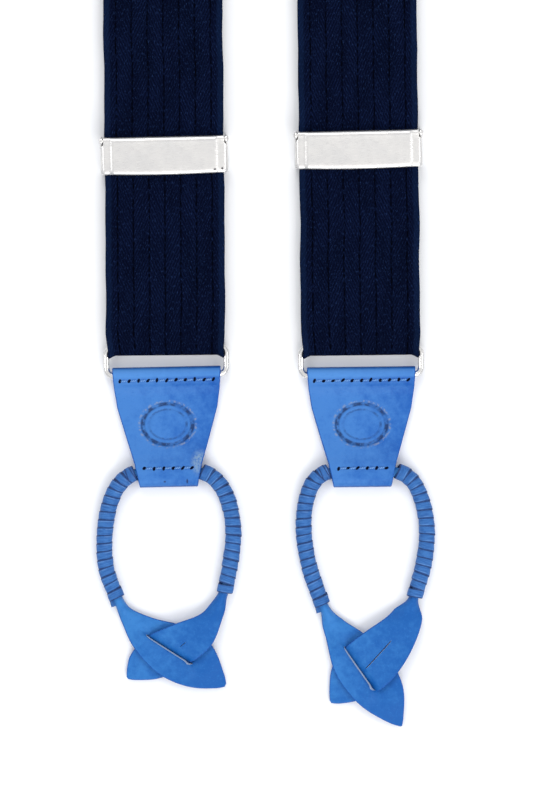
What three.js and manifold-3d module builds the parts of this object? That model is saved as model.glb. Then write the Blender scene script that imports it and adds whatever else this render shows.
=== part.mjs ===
// Button-on suspenders with a Y back, laid flat on a table. Millimetres, +Z up, front ends towards -Y.
// Two elastic front straps run through slide adjusters and turn round wire rings. Leather tabs hang
// from the rings, and each tab holds a rolled leather loop whose two blades button on the trousers.
import * as THREE from "three";
import { mergeVertices } from "three/addons/utils/BufferGeometryUtils.js";
import Module from "manifold-3d";

const wasm = await Module();
wasm.setup();

const STRAP_WIDTH = 34.6;
const STRAP_THICK = 1.1;
const LEATHER_THICK = 1.1;
const GAP = 0.3;

const WIRE_RADIUS = 0.9;
const RING_HALF_WIDTH = 17.4;
const RING_HALF_HEIGHT = 4;
const RING_CORNER = 2;
const FOLD_RADIUS = WIRE_RADIUS + 0.35 + STRAP_THICK / 2;
const RING_Z = FOLD_RADIUS + STRAP_THICK / 2;
const FOLD_HALF_WIDTH = 15;

const STRAP_Z = RING_Z + FOLD_RADIUS;
const TAIL_Z = RING_Z - FOLD_RADIUS;
const PATCH_STRAP_Z = 1.5 * LEATHER_THICK + GAP;
const RUN_END = 150;
const STRAIGHT_END = 260;
const PATCH_V = 640;
const REAR_RING_V = 790;

const ADJUSTER_HALF_WIDTH = 17.4;
const ADJUSTER_HALF_HEIGHT = 5.35;
const WALL_INNER = 17.7;
const WALL_OUTER = 18.4;
const PIN_RADIUS = 0.5;
const BARREL_RADIUS = 1.05;
const HINGE_V = 4.25;
const HINGE_Z = STRAP_Z + STRAP_THICK / 2 + 0.25 + BARREL_RADIUS;

const TAB_BOTTOM = -36.5;
const CORE_RADIUS = 1.3;
const WRAP_RADIUS = 2.2;
const CHANNEL_RADIUS = CORE_RADIUS + GAP + LEATHER_THICK / 2;
const CHANNEL_Z = CHANNEL_RADIUS + LEATHER_THICK / 2;
const CHANNEL_V = TAB_BOTTOM + CHANNEL_Z;
const CORE_V = CHANNEL_V + 1.1;
const BLADE_OVER_Z = 3.7;
const BLADE_MID_Z = 2.2;
const BLADE_UNDER_Z = 0.65;

const COLOURS = {
  webbing: { color: 0x060f2b, roughness: 0.85, metalness: 0 },
  leather: { color: 0x3f7fd6, roughness: 0.5, metalness: 0 },
  nickel: { color: 0xd9d6d0, roughness: 0.3, metalness: 1 },
  thread: { color: 0x5a93e0, roughness: 0.7, metalness: 0 },
};

const SIDES = {
  left: { x: -28.2, strapLean: 0.55, tabLean: 1.2, adjusterV: 59.6, adjusterLean: 1.3 },
  right: { x: 28.2, strapLean: 0.7, tabLean: 0.7, adjusterV: 61.3, adjusterLean: 1.3 },
};

// Each loop is seen from its ring's middle: the route of the cord on its two sides, then the two
// edges of each blade from the cord to the tip, and the slit that the other blade passes through.
const SQUARE_LOOP = {
  outerCord: [[-9.6, -32.7], [-13.5, -35.6], [-16.3, -41.2], [-17.9, -51], [-17.3, -60.5], [-14.4, -68.4]],
  innerCord: [[10.6, -32.2], [14.5, -34.6], [17.6, -39.6], [19.4, -48.5], [18.8, -57], [17, -66.6]],
  slitBlade: {
    low: [[-16, -69.2], [-13.1, -75.4], [-9.7, -82.6], [-2, -90.8], [7, -94.5], [16.7, -94.9]],
    high: [[-12.6, -67.8], [-10.2, -71.6], [-4.1, -74.4], [5.5, -77], [13.1, -82.3], [17.6, -93]],
  },
  overBlade: {
    low: [[18.8, -66.6], [16.5, -74], [13.1, -82.3], [6.7, -87.6], [-2, -92], [-10.8, -92.6]],
    high: [[15, -66], [10.8, -72.6], [2.3, -76.2], [-5.2, -79.7], [-10.4, -85.2], [-11.8, -91.2]],
  },
  slit: { from: [-5.9, -79.2], to: [7.7, -87.8] },
  buttonhole: { from: [8.6, -78], to: [2.6, -83] },
};
const POINTED_LOOP = {
  outerCord: [[-9.8, -32.2], [-13.6, -34.9], [-15.9, -40.6], [-16.6, -49], [-15, -59.4], [-11.3, -70.2]],
  innerCord: [[10.9, -32.1], [14.6, -34.4], [17.4, -39.6], [19.1, -48.5], [18.2, -58.6], [15.6, -68]],
  slitBlade: {
    low: [[-13, -70.9], [-10.3, -80], [-7.4, -90.6], [-0.6, -99.4], [6.2, -103.9], [11, -106.1]],
    high: [[-9.3, -69.8], [-5.6, -74.6], [0.6, -78.8], [7.6, -85.2], [12.2, -94.4], [12.3, -105.6]],
  },
  overBlade: {
    low: [[18.4, -68], [17.3, -77], [12.2, -88], [5.4, -95.4], [-1.5, -98.6], [-8.3, -99.6]],
    high: [[13, -67.2], [8.4, -73.2], [1, -78.5], [-4.4, -82.8], [-8.4, -89], [-9.3, -98]],
  },
  slit: { from: [-4.9, -82.5], to: [4.2, -95.4] },
  buttonhole: { from: [8.8, -80.7], to: [1.1, -89.1] },
};

const suspenders = new THREE.Group();
const V3 = (x, y, z) => new THREE.Vector3(x, y, z);

function addMesh(parent, name, geometry, look) {
  const mesh = new THREE.Mesh(geometry, new THREE.MeshStandardMaterial(COLOURS[look]));
  mesh.name = name;
  parent.add(mesh);
  return mesh;
}

function addGroup(parent, x, y, leanDegrees) {
  const group = new THREE.Group();
  group.position.set(x, y, 0);
  group.rotation.z = THREE.MathUtils.degToRad(leanDegrees);
  parent.add(group);
  return group;
}

function facesToGeometry(points, faces) {
  const corners = new Float32Array(points.length * 3);
  points.forEach((point, i) => point.toArray(corners, i * 3));
  return new THREE.BufferGeometry()
    .setAttribute("position", new THREE.BufferAttribute(corners, 3))
    .setIndex(faces);
}

// A skin over rings of points, with its faces turned outwards. It has flat ends, unless it is a
// loop that runs round and meets its own start, as a wire ring does.
function skin(rings, isLoop = false) {
  const count = rings[0].length;
  const points = rings.flat();
  const lastRing = points.length - count;
  const faces = [];
  for (let start = 0; start < (isLoop ? points.length : lastRing); start += count)
    for (let j = 0; j < count; j++) {
      const here = start + j;
      const next = start + ((j + 1) % count);
      const [ahead, nextAhead] = [(here + count) % points.length, (next + count) % points.length];
      faces.push(here, next, nextAhead, here, nextAhead, ahead);
    }
  for (let j = 1; j + 1 < count && !isLoop; j++)
    faces.push(0, j + 1, j, lastRing, lastRing + j, lastRing + j + 1);
  let volume = 0;
  for (let i = 0; i < faces.length; i += 3)
    volume += points[faces[i]].dot(points[faces[i + 1]].clone().cross(points[faces[i + 2]]));
  return facesToGeometry(points, volume < 0 ? faces.reverse() : faces);
}

// A sheet of one thickness between two edges, given as matching points a and b at each station.
function sheet(stations, thickness) {
  const middles = stations.map(({ a, b }) => a.clone().lerp(b, 0.5));
  const last = stations.length - 1;
  return skin(stations.map(({ a, b }, i) => {
    const along = middles[Math.min(i + 1, last)].clone().sub(middles[Math.max(i - 1, 0)]);
    const up = b.clone().sub(a).cross(along).setLength(thickness / 2);
    return [a.clone().add(up), b.clone().add(up), b.clone().sub(up), a.clone().sub(up)];
  }));
}

// A strip that is straight across and bends in its side view, through points [v, z].
function strip(profile, halfWidth, thickness) {
  return sheet(profile.map(([v, z]) => ({ a: V3(-halfWidth, v, z), b: V3(halfWidth, v, z) })), thickness);
}

function arc(centreV, centreZ, radius, fromDegrees, toDegrees, steps = 8) {
  return Array.from({ length: steps + 1 }, (_, i) => {
    const turn = THREE.MathUtils.degToRad(fromDegrees + ((toDegrees - fromDegrees) * i) / steps);
    return [centreV + radius * Math.cos(turn), centreZ + radius * Math.sin(turn)];
  });
}

function tube(path, radius, steps, sides = 10) {
  const rings = [];
  for (let i = 0; i <= steps; i++) {
    const middle = path.getPointAt(i / steps);
    const along = path.getTangentAt(i / steps);
    const across = along.clone().cross(V3(0, 0, 1)).normalize();
    const up = across.clone().cross(along);
    rings.push(Array.from({ length: sides }, (_, j) => {
      const turn = (2 * Math.PI * j) / sides;
      return middle.clone().addScaledVector(across, radius * Math.cos(turn))
        .addScaledVector(up, radius * Math.sin(turn));
    }));
  }
  return skin(rings);
}

function box(fromX, toX, fromY, toY, fromZ, toZ) {
  return new THREE.BoxGeometry(toX - fromX, toY - fromY, toZ - fromZ)
    .translate((fromX + toX) / 2, (fromY + toY) / 2, (fromZ + toZ) / 2);
}

function toSolid(geometry) {
  const bare = geometry.clone();
  bare.deleteAttribute("normal");
  bare.deleteAttribute("uv");
  const merged = mergeVertices(bare, 1e-4);
  return new wasm.Manifold(new wasm.Mesh({
    numProp: 3,
    vertProperties: merged.attributes.position.array,
    triVerts: new Uint32Array(merged.index.array),
  }));
}

function toGeometry(solid) {
  const mesh = solid.getMesh();
  const points = [];
  for (let i = 0; i < mesh.numVert; i++)
    points.push(V3().fromArray(mesh.vertProperties, i * mesh.numProp));
  return facesToGeometry(points, Array.from(mesh.triVerts));
}

const join = (...shapes) => toGeometry(shapes.map(toSolid).reduce((all, one) => all.add(one)));
const cut = (shape, ...tools) =>
  toGeometry(tools.map(toSolid).reduce((left, tool) => left.subtract(tool), toSolid(shape)));
const keepInside = (shape, tool) => toGeometry(toSolid(shape).intersect(toSolid(tool)));

// A flat strap along a curve in plan, at a height that may change from start to end.
function strapAlong(curve, from, to, steps, startZ, endZ) {
  return sheet(Array.from({ length: steps + 1 }, (_, i) => {
    const at = from + ((to - from) * i) / steps;
    const middle = curve.getPoint(at);
    const along = curve.getTangent(at);
    const half = V3(along.y, -along.x, 0).setLength(STRAP_WIDTH / 2);
    middle.z = THREE.MathUtils.lerp(startZ, endZ, i / steps);
    return { a: middle.clone().sub(half), b: middle.clone().add(half) };
  }), STRAP_THICK);
}

// The upper part of a front strap, from its straight stretch to its sewn end in the back patch.
function frontStrap(side) {
  const { x, strapLean } = SIDES[side];
  const sign = Math.sign(x);
  const lean = THREE.MathUtils.degToRad(strapLean);
  const onLine = (v) => V3(x - v * Math.sin(lean), v * Math.cos(lean), 0);
  const straight = new THREE.LineCurve3(onLine(RUN_END + GAP), onLine(STRAIGHT_END));
  const bow = new THREE.CubicBezierCurve3(
    onLine(STRAIGHT_END), onLine(STRAIGHT_END + 150),
    V3(sign * 56, PATCH_V - 130, 0), V3(sign * 21, PATCH_V - 11, 0),
  );
  const lower = strapAlong(straight, 0, 1, 2, STRAP_Z, STRAP_Z);
  const upper = strapAlong(bow, 0, 1, 32, STRAP_Z, PATCH_STRAP_Z);
  return join(lower, upper);
}

// The front layer from the ring up to RUN_END, the turn round the ring, and the layer behind it
// that runs back up and is sewn round the adjuster's bar.
function addStrapEnd(parent, side) {
  const { x, strapLean, adjusterV } = SIDES[side];
  const group = addGroup(parent, x, 0, strapLean);
  const lip = RING_HALF_HEIGHT + 1.5;
  const run = [[lip + GAP, STRAP_Z], [RUN_END, STRAP_Z]];
  const bight = [[lip, STRAP_Z], ...arc(RING_HALF_HEIGHT, RING_Z, FOLD_RADIUS, 90, 270), [lip, TAIL_Z]];
  const turn = adjusterV - 2.1;
  const tail = [
    [lip + GAP, TAIL_Z], [turn, TAIL_Z],
    ...arc(turn, TAIL_Z + STRAP_THICK, STRAP_THICK, -60, 90, 6),
    [turn - 12, TAIL_Z + 2 * STRAP_THICK],
  ];
  addMesh(group, side + "_strap_run", strip(run, STRAP_WIDTH / 2, STRAP_THICK), "webbing");
  addMesh(group, side + "_strap_bight", strip(bight, FOLD_HALF_WIDTH, STRAP_THICK), "webbing");
  addMesh(group, side + "_strap_tail", strip(tail, STRAP_WIDTH / 2 - 0.3, STRAP_THICK), "webbing");
}

function cylinderAcross(radius, fromX, toX, v, z, sides = 12) {
  return new THREE.CylinderGeometry(radius, radius, toX - fromX, sides)
    .rotateZ(Math.PI / 2).translate((fromX + toX) / 2, v, z);
}

function adjusterFrame() {
  const wallTop = HINGE_Z + 1.1;
  const barFromZ = TAIL_Z + STRAP_THICK / 2 + 0.25;
  const bar = (fromV, toV) => box(-WALL_INNER - 0.2, WALL_INNER + 0.2, fromV, toV, barFromZ, barFromZ + 0.6);
  const walls = [-1, 1].flatMap((sign) => {
    const [fromX, toX] = [sign * WALL_INNER, sign * WALL_OUTER].sort((p, q) => p - q);
    return [
      box(fromX, toX, -5, 5.2, 0, STRAP_Z + 0.6),
      box(fromX, toX, HINGE_V - 1.4, 5.2, STRAP_Z, wallTop),
    ];
  });
  const hole = cylinderAcross(PIN_RADIUS + 0.2, -WALL_OUTER - 1, WALL_OUTER + 1, HINGE_V, HINGE_Z);
  return cut(join(bar(-4.8, -2.4), bar(1.6, 5), ...walls), hole);
}

function adjusterLever() {
  const plateZ = STRAP_Z + STRAP_THICK / 2 + 0.4;
  const ends = box(-ADJUSTER_HALF_WIDTH, ADJUSTER_HALF_WIDTH, -ADJUSTER_HALF_HEIGHT, 3.8, plateZ, plateZ + 0.6);
  const panel = box(-15.2, 15.2, -ADJUSTER_HALF_HEIGHT, 3.8, plateZ + 0.1, plateZ + 1);
  const barrel = cylinderAcross(BARREL_RADIUS, -ADJUSTER_HALF_WIDTH, ADJUSTER_HALF_WIDTH, HINGE_V, HINGE_Z);
  const hole = cylinderAcross(PIN_RADIUS + 0.2, -WALL_OUTER, WALL_OUTER, HINGE_V, HINGE_Z);
  return cut(join(ends, panel, barrel), hole);
}

function adjusterPin() {
  const shaft = cylinderAcross(PIN_RADIUS, -WALL_OUTER - 0.5, WALL_OUTER + 0.5, HINGE_V, HINGE_Z);
  const heads = [-1, 1].map((sign) => {
    const [fromX, toX] = [sign * (WALL_OUTER + 0.2), sign * (WALL_OUTER + 0.6)].sort((p, q) => p - q);
    return cylinderAcross(PIN_RADIUS + 0.4, fromX, toX, HINGE_V, HINGE_Z);
  });
  return join(shaft, ...heads);
}

function addAdjuster(parent, side) {
  const { x, strapLean, adjusterV, adjusterLean } = SIDES[side];
  const lean = THREE.MathUtils.degToRad(strapLean);
  const group = addGroup(parent, x - adjusterV * Math.sin(lean), adjusterV * Math.cos(lean), adjusterLean);
  addMesh(group, side + "_adjuster_frame", adjusterFrame(), "nickel");
  addMesh(group, side + "_adjuster_lever", adjusterLever(), "nickel");
  addMesh(group, side + "_adjuster_pin", adjusterPin(), "nickel");
}

// A wire ring: straight bars above and below with round corners between them.
function ringGeometry() {
  const [w, h] = [RING_HALF_WIDTH - RING_CORNER, RING_HALF_HEIGHT - RING_CORNER];
  const corners = [[w, h], [-w, h], [-w, -h], [w, -h]];
  const rings = corners.flatMap(([x, y], quarter) => [0, 1, 2, 3].map((step) => {
    const turn = ((quarter + step / 3) * Math.PI) / 2;
    const out = V3(Math.cos(turn), Math.sin(turn), 0);
    const middle = V3(x, y, RING_Z).addScaledVector(out, RING_CORNER);
    return Array.from({ length: 8 }, (_, j) => {
      const round = (2 * Math.PI * (j + 0.5)) / 8;
      return middle.clone().addScaledVector(out, WIRE_RADIUS * Math.cos(round))
        .add(V3(0, 0, WIRE_RADIUS * Math.sin(round)));
    });
  }));
  return skin(rings, true);
}

// The tab's outline from above: half widths at falling heights, mirrored about its middle.
function tabOutline() {
  const right = [[15.1, -1], [15.1, -8], [14.5, -13.5], [12, -22], [9.75, -29.7], [8.25, TAB_BOTTOM - 1]];
  const outline = new THREE.Shape([
    ...right.map(([u, v]) => new THREE.Vector2(u, v)),
    ...right.reverse().map(([u, v]) => new THREE.Vector2(-u, v)),
  ]);
  return new THREE.ExtrudeGeometry(outline, { depth: 10, bevelEnabled: false }).translate(0, 0, -2);
}

// One blank of leather: its ends fold to the back round the ring and round the cord, and are sewn
// down under the front panel.
function tabGeometry() {
  const backZ = LEATHER_THICK / 2;
  const frontZ = backZ + LEATHER_THICK + 0.15;
  const profile = [
    [-13, backZ],
    [-RING_HALF_HEIGHT - 0.2, backZ],
    ...arc(-RING_HALF_HEIGHT, RING_Z, FOLD_RADIUS, -90, 90, 10),
    [-5.6, STRAP_Z - 0.4], [-7.4, frontZ + 0.7], [-9.2, frontZ],
    [-27, frontZ], [-28.8, frontZ + 0.5], [-31.2, CHANNEL_Z + CHANNEL_RADIUS - 0.4],
    ...arc(CHANNEL_V, CHANNEL_Z, CHANNEL_RADIUS, 100, 270, 10),
    [-30.8, backZ], [-23, backZ],
  ];
  return keepInside(strip(profile, 18, LEATHER_THICK), tabOutline());
}

function tabStitches(halfWidth, v, z) {
  return box(-halfWidth, halfWidth, v - 0.25, v + 0.25, z, z + 0.3);
}

const flatPoint = ([x, y], z) => V3(x, y, z);

function blade(edges, heightAt, steps = 18) {
  const curve = (points) => new THREE.CatmullRomCurve3(points.map((point) => flatPoint(point, 0)));
  const [low, high] = [curve(edges.low), curve(edges.high)];
  return sheet(Array.from({ length: steps + 1 }, (_, i) => {
    const [a, b] = [low.getPoint(i / steps), high.getPoint(i / steps)];
    const z = heightAt(i / steps);
    return { a: a.setZ(z), b: b.setZ(z) };
  }), LEATHER_THICK);
}

function slot({ from, to }, halfWidth) {
  const [start, end] = [flatPoint(from, 0), flatPoint(to, 0)];
  const along = end.clone().sub(start);
  return new THREE.BoxGeometry(along.length(), 2 * halfWidth, 4)
    .rotateZ(Math.atan2(along.y, along.x))
    .translate((start.x + end.x) / 2, (start.y + end.y) / 2, BLADE_MID_Z);
}

// The whole cord, from the outer blade up one side, through the tab's channel and down the other.
function cordPath(loop, channelX) {
  const side = (points) => points.map((point, i) => {
    const fall = THREE.MathUtils.smoothstep(i, 0, 2);
    return flatPoint(point, THREE.MathUtils.lerp(CHANNEL_Z, WRAP_RADIUS, fall));
  });
  const channel = [-7.6, 0, 7.6].map((u) => V3(channelX + u, CORE_V, CHANNEL_Z));
  const points = [...side(loop.outerCord).reverse(), ...channel, ...side(loop.innerCord)];
  return new THREE.CatmullRomCurve3(points, false, "centripetal");
}

function partOfPath(path, from, to, count) {
  return new THREE.CatmullRomCurve3(
    Array.from({ length: count + 1 }, (_, i) => path.getPointAt(THREE.MathUtils.lerp(from, to, i / count))),
  );
}

function addLoop(parent, name, loop, channelX) {
  const path = cordPath(loop, channelX);
  const length = path.getLength();
  const nearTab = (points) => {
    const start = flatPoint(points[0], CHANNEL_Z);
    let best = 0;
    for (let i = 0; i <= 400; i++)
      if (path.getPointAt(i / 400).distanceTo(start) < path.getPointAt(best).distanceTo(start)) best = i / 400;
    return best;
  };
  const outerWrapEnd = nearTab(loop.outerCord) - 2.2 / length;
  const innerWrapStart = nearTab(loop.innerCord) + 2.2 / length;
  const wrap = (from, to) => cut(
    tube(partOfPath(path, from, to, 12), WRAP_RADIUS, 16),
    tube(partOfPath(path, from - 1 / length, to + 1 / length, 14), CORE_RADIUS + GAP, 18),
  );
  const through = (t) => THREE.MathUtils.lerp(
    BLADE_OVER_Z, BLADE_UNDER_Z, THREE.MathUtils.smoothstep(t, 0.5, 0.72),
  );
  const rise = (t) => THREE.MathUtils.lerp(WRAP_RADIUS, through(t), THREE.MathUtils.smoothstep(t, 0, 0.2));
  const level = () => BLADE_MID_Z;
  const slitBlade = cut(blade(loop.slitBlade, level), slot(loop.slit, 2.4));
  const overBlade = cut(blade(loop.overBlade, rise, 24), slot(loop.buttonhole, 0.5));
  const loopSolid = join(tube(path, CORE_RADIUS, 60), slitBlade, overBlade);
  addMesh(parent, name + "_button_loop", loopSolid, "leather");
  addMesh(parent, name + "_outer_wrap", wrap(2 / length, outerWrapEnd), "leather");
  addMesh(parent, name + "_inner_wrap", wrap(innerWrapStart, 1 - 2 / length), "leather");
}

// A ring with the tab and the loop that hang from it. The loop keeps the parent's directions.
function addRingEnd(parent, name, x, lean, loop) {
  const group = addGroup(parent, x, 0, lean);
  addMesh(group, name + "_ring", ringGeometry(), "nickel");
  addMesh(group, name + "_tab", tabGeometry(), "leather");
  addMesh(group, name + "_tab_upper_stitching", tabStitches(13.6, -6.2, STRAP_Z + 0.55), "thread");
  addMesh(group, name + "_tab_lower_stitching", tabStitches(6.9, -30.2, CHANNEL_Z + CHANNEL_RADIUS + 0.65), "thread");
  const channelX = -CORE_V * Math.sin(THREE.MathUtils.degToRad(lean));
  addLoop(addGroup(parent, x, 0, 0), name, loop, channelX);
}

// The back patch's outline: wide where the two front straps enter, narrow where the rear one leaves.
function patchGeometry(grow, fromZ) {
  const outline = new THREE.Shape();
  const [wide, narrow, front, rear] = [44 + grow, 20.5 + grow, -30 - grow, 34 + grow];
  outline.moveTo(0, front + 14);
  outline.quadraticCurveTo(4, front + 12, 8, front + 1);
  outline.lineTo(wide - 6, front + 5);
  outline.quadraticCurveTo(wide, front + 8, wide - 2, front + 16);
  outline.bezierCurveTo(wide - 2, 0, narrow, 8, narrow, rear - 3);
  outline.quadraticCurveTo(narrow, rear, narrow - 3, rear);
  outline.lineTo(3 - narrow, rear);
  outline.quadraticCurveTo(-narrow, rear, -narrow, rear - 3);
  outline.bezierCurveTo(-narrow, 8, 2 - wide, 0, 2 - wide, front + 16);
  outline.quadraticCurveTo(-wide, front + 8, 6 - wide, front + 5);
  outline.lineTo(-8, front + 1);
  outline.quadraticCurveTo(-4, front + 12, 0, front + 14);
  const settings = { depth: LEATHER_THICK, bevelEnabled: false, curveSegments: 8 };
  return new THREE.ExtrudeGeometry(outline, settings).translate(0, PATCH_V, fromZ);
}

function addBackPatch(parent) {
  const outerZ = PATCH_STRAP_Z + STRAP_THICK / 2 + GAP;
  const threadZ = outerZ + LEATHER_THICK + 0.1;
  addMesh(parent, "back_patch_lining", patchGeometry(0, 0), "leather");
  addMesh(parent, "back_patch_outer", patchGeometry(0, outerZ), "leather");
  for (const [name, x, v, lean] of [["left", -24, -20, -16], ["right", 24, -20, 16], ["rear", 0, 28, 0]]) {
    const group = addGroup(parent, x, PATCH_V + v, lean);
    addMesh(group, "back_patch_" + name + "_stitching", box(-15, 15, -0.25, 0.25, threadZ, threadZ + 0.3), "thread");
  }
}

// The rear strap leaves the patch, turns round the rear ring and is sewn to its own underside.
function addRearStrap(parent) {
  const group = addGroup(parent, 0, REAR_RING_V, 180);
  const start = REAR_RING_V - PATCH_V - 5;
  const profile = [
    [start, PATCH_STRAP_Z], [start - 30, PATCH_STRAP_Z], [start - 50, STRAP_Z], [RING_HALF_HEIGHT, STRAP_Z],
    ...arc(RING_HALF_HEIGHT, RING_Z, FOLD_RADIUS, 90, 270).slice(1), [RING_HALF_HEIGHT + 26, TAIL_Z],
  ];
  addMesh(group, "rear_strap", strip(profile, FOLD_HALF_WIDTH, STRAP_THICK), "webbing");
  const threadZ = STRAP_Z + STRAP_THICK / 2 + 0.1;
  addMesh(group, "rear_strap_stitching", box(-13.5, 13.5, 22, 22.5, threadZ, threadZ + 0.3), "thread");
  addRingEnd(group, "rear", 0, 0, POINTED_LOOP);
}

for (const side of ["left", "right"]) {
  addMesh(suspenders, side + "_front_strap", frontStrap(side), "webbing");
  addStrapEnd(suspenders, side);
  addAdjuster(suspenders, side);
  addRingEnd(suspenders, side, SIDES[side].x, SIDES[side].tabLean, side === "left" ? SQUARE_LOOP : POINTED_LOOP);
}
addBackPatch(suspenders);
addRearStrap(suspenders);

// The origin is the middle of the whole object's box, on the table.
const bounds = new THREE.Box3().setFromObject(suspenders, true);
const middle = bounds.getCenter(V3());
suspenders.position.set(-middle.x, -middle.y, -bounds.min.z);

export default suspenders;
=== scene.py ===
"""Button-on suspenders with a Y back, laid flat on a pale table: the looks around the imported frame.

Shapes are worked out in millimetres, in plans of their own (u across, v along, z up), and each plan's
place puts them into the row frame in metres.
"""
import functools
import math

import bmesh
import bpy
import numpy as np
from mathutils import Matrix, Vector


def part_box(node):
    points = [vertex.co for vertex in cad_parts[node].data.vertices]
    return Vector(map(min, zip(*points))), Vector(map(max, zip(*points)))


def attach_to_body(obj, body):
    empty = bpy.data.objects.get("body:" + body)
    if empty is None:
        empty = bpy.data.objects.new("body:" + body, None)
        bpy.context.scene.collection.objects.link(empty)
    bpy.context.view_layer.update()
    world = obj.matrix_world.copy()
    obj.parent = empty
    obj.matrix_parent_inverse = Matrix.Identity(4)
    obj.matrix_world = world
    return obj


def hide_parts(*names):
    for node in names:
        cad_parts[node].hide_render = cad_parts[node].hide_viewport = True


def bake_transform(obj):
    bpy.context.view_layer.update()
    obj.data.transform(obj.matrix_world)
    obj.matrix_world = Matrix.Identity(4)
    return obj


MM = 0.001

# Webbing
STRAP_HALF = 17.3
STRAP_THICK = 1.1
STRAIGHT_END = 260
PATCH_V = 640

# Ring, and the layers that turn round it
WIRE_RADIUS = 0.9
RING_HALF_WIDTH = 17.4
RING_HALF_HEIGHT = 4
RING_CORNER = 2
FOLD_RADIUS = 1.8
RING_Z = 2.35
STRAP_Z = RING_Z + FOLD_RADIUS
TAIL_Z = RING_Z - FOLD_RADIUS
PATCH_STRAP_Z = 1.95
FOLD_HALF = 16.8
REAR_HALF = 15.0

# Adjuster
HINGE_V = 4.25
HINGE_Z = 6.0
PLATE_HALF = 17.55
PLATE_OVER_WALLS = 18.1
PANEL_HALF = 15.2
PLATE_BOTTOM = -5.35
WALL_INNER = 17.7
WALL_OUTER = 18.4
PIN_RADIUS = 0.5

# Tab and loop
LEATHER_THICK = 1.1
TAB_TOP = FOLD_RADIUS + LEATHER_THICK / 2 - RING_HALF_HEIGHT
TAB_BOTTOM = -36.5
CORE_RADIUS = 1.3
WRAP_RADIUS = 2.2
CHANNEL_RADIUS = 2.15
CHANNEL_Z = 2.7
CHANNEL_V = TAB_BOTTOM + CHANNEL_Z
CORE_V = CHANNEL_V + 1.1
UPPER_ROW = {"v": -5.6, "half": 13.6, "holes": 11}
LOWER_ROW = {"v": -31.0, "half": 6.9, "holes": 6}
OVAL = {"v": -18.3, "outer": (7.2, 5.9), "inner": (5.5, 4.3)}
LACE_PITCH = 2.34
LACE_HALF = 1.34
LACE_THICK = 0.7
LACE_LAP = 0.09
TIE_HALF = 1.25
HOLE_RADIUS = 0.56

# Above this height a layer of the tab belongs to its face.
FACE_Z = 1.7
# How high a slit's low side stands and how far its high side sinks.
LOW_LIP = 0.95
HIGH_LIP = 0.75
# How much wider than high the lacing lies, and the cord's room beyond its ends for the ties.
FLATNESS = 1.12
END_ROOM = 4.0

SIDES = {
    "left": {"strap_lean": 0.55, "tab_lean": 1.2, "adjuster_v": 59.6, "adjuster_lean": 1.3},
    "right": {"strap_lean": 0.7, "tab_lean": 0.7, "adjuster_v": 61.3, "adjuster_lean": 1.3},
}

# Each loop is seen from its ring's middle: the cord's two sides, then the two edges of each blade
# from the cord to the tip, the slit that the other blade passes through, and the buttonhole.
SQUARE_LOOP = {
    "outer_cord": [(-9.6, -32.7), (-13.5, -35.6), (-16.3, -41.2), (-17.9, -51), (-17.3, -60.5),
                   (-14.4, -68.4)],
    "inner_cord": [(10.6, -32.2), (14.5, -34.6), (17.6, -39.6), (19.4, -48.5), (18.8, -57), (17, -66.6)],
    "slit_low": [(-16, -69.2), (-13.1, -75.4), (-9.7, -82.6), (-2, -90.8), (7, -94.5), (16.7, -94.9)],
    "slit_high": [(-12.6, -67.8), (-10.2, -71.6), (-4.1, -74.4), (5.5, -77), (13.1, -82.3), (17.6, -93)],
    "over_low": [(18.8, -66.6), (16.5, -74), (13.1, -82.3), (6.7, -87.6), (-2, -92), (-10.8, -92.6)],
    "over_high": [(15, -66), (10.8, -72.6), (2.3, -76.2), (-5.2, -79.7), (-10.4, -85.2), (-11.8, -91.2)],
    "slit": [(-5.9, -79.2), (7.7, -87.8)],
    "buttonhole": [(5.8, -81.2), (3.9, -82.8)],
    "lip": 0.36,
    "hole_lip": 0.1,
}
POINTED_LOOP = {
    "outer_cord": [(-9.8, -32.2), (-13.6, -34.9), (-15.9, -40.6), (-16.6, -49), (-15, -59.4),
                   (-11.3, -70.2)],
    "inner_cord": [(10.9, -32.1), (14.6, -34.4), (17.4, -39.6), (19.1, -48.5), (18.2, -58.6), (15.6, -68)],
    "slit_low": [(-13, -70.9), (-10.3, -80), (-7.4, -90.6), (-0.6, -99.4), (6.2, -103.9), (11, -106.1)],
    "slit_high": [(-9.3, -69.8), (-5.6, -74.6), (0.6, -78.8), (7.6, -85.2), (12.2, -94.4), (12.3, -105.6)],
    "over_low": [(18.4, -68), (17.3, -77), (12.2, -88), (5.4, -95.4), (-1.5, -98.6), (-8.3, -99.6)],
    "over_high": [(13, -67.2), (8.4, -73.2), (1, -78.5), (-4.4, -82.8), (-8.4, -89), (-9.3, -98)],
    "slit": [(-4.9, -82.5), (4.2, -95.4)],
    "buttonhole": [(8.8, -80.7), (1.1, -89.1)],
    "lip": 0.5,
    "hole_lip": 0.26,
}

# Where each strap crosses its seam in the patch, its lean, its half width and how far in it ends.
STRAP_ENTRIES = ((-24, -20, -16, STRAP_HALF, 11), (24, -20, 16, STRAP_HALF, 11), (0, 28, 0, REAR_HALF, 24.5))
PATCH_CENTRE = np.array([0.0, 4.0])

# The camera looks straight down on the table: metres, but for the sensor's millimetres.
VIEW_HEIGHT = 0.2314
VIEW_CENTRE = (0.0022, -0.4063)
CAMERA_HEIGHT = 1.15
SENSOR = 36.0
TABLE_HALF = 30
# How bright a level white surface shows in this studio.
STUDIO_LEVEL = 1.2

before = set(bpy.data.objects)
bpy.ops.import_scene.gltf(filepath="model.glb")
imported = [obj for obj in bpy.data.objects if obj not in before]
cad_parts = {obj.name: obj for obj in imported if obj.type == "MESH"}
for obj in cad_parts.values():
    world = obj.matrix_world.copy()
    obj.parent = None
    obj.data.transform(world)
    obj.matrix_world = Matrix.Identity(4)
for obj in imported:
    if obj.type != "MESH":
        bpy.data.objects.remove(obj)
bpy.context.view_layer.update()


# ---- places ----

def box_middle(node):
    low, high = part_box(node)
    return (low + high) / 2


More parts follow.
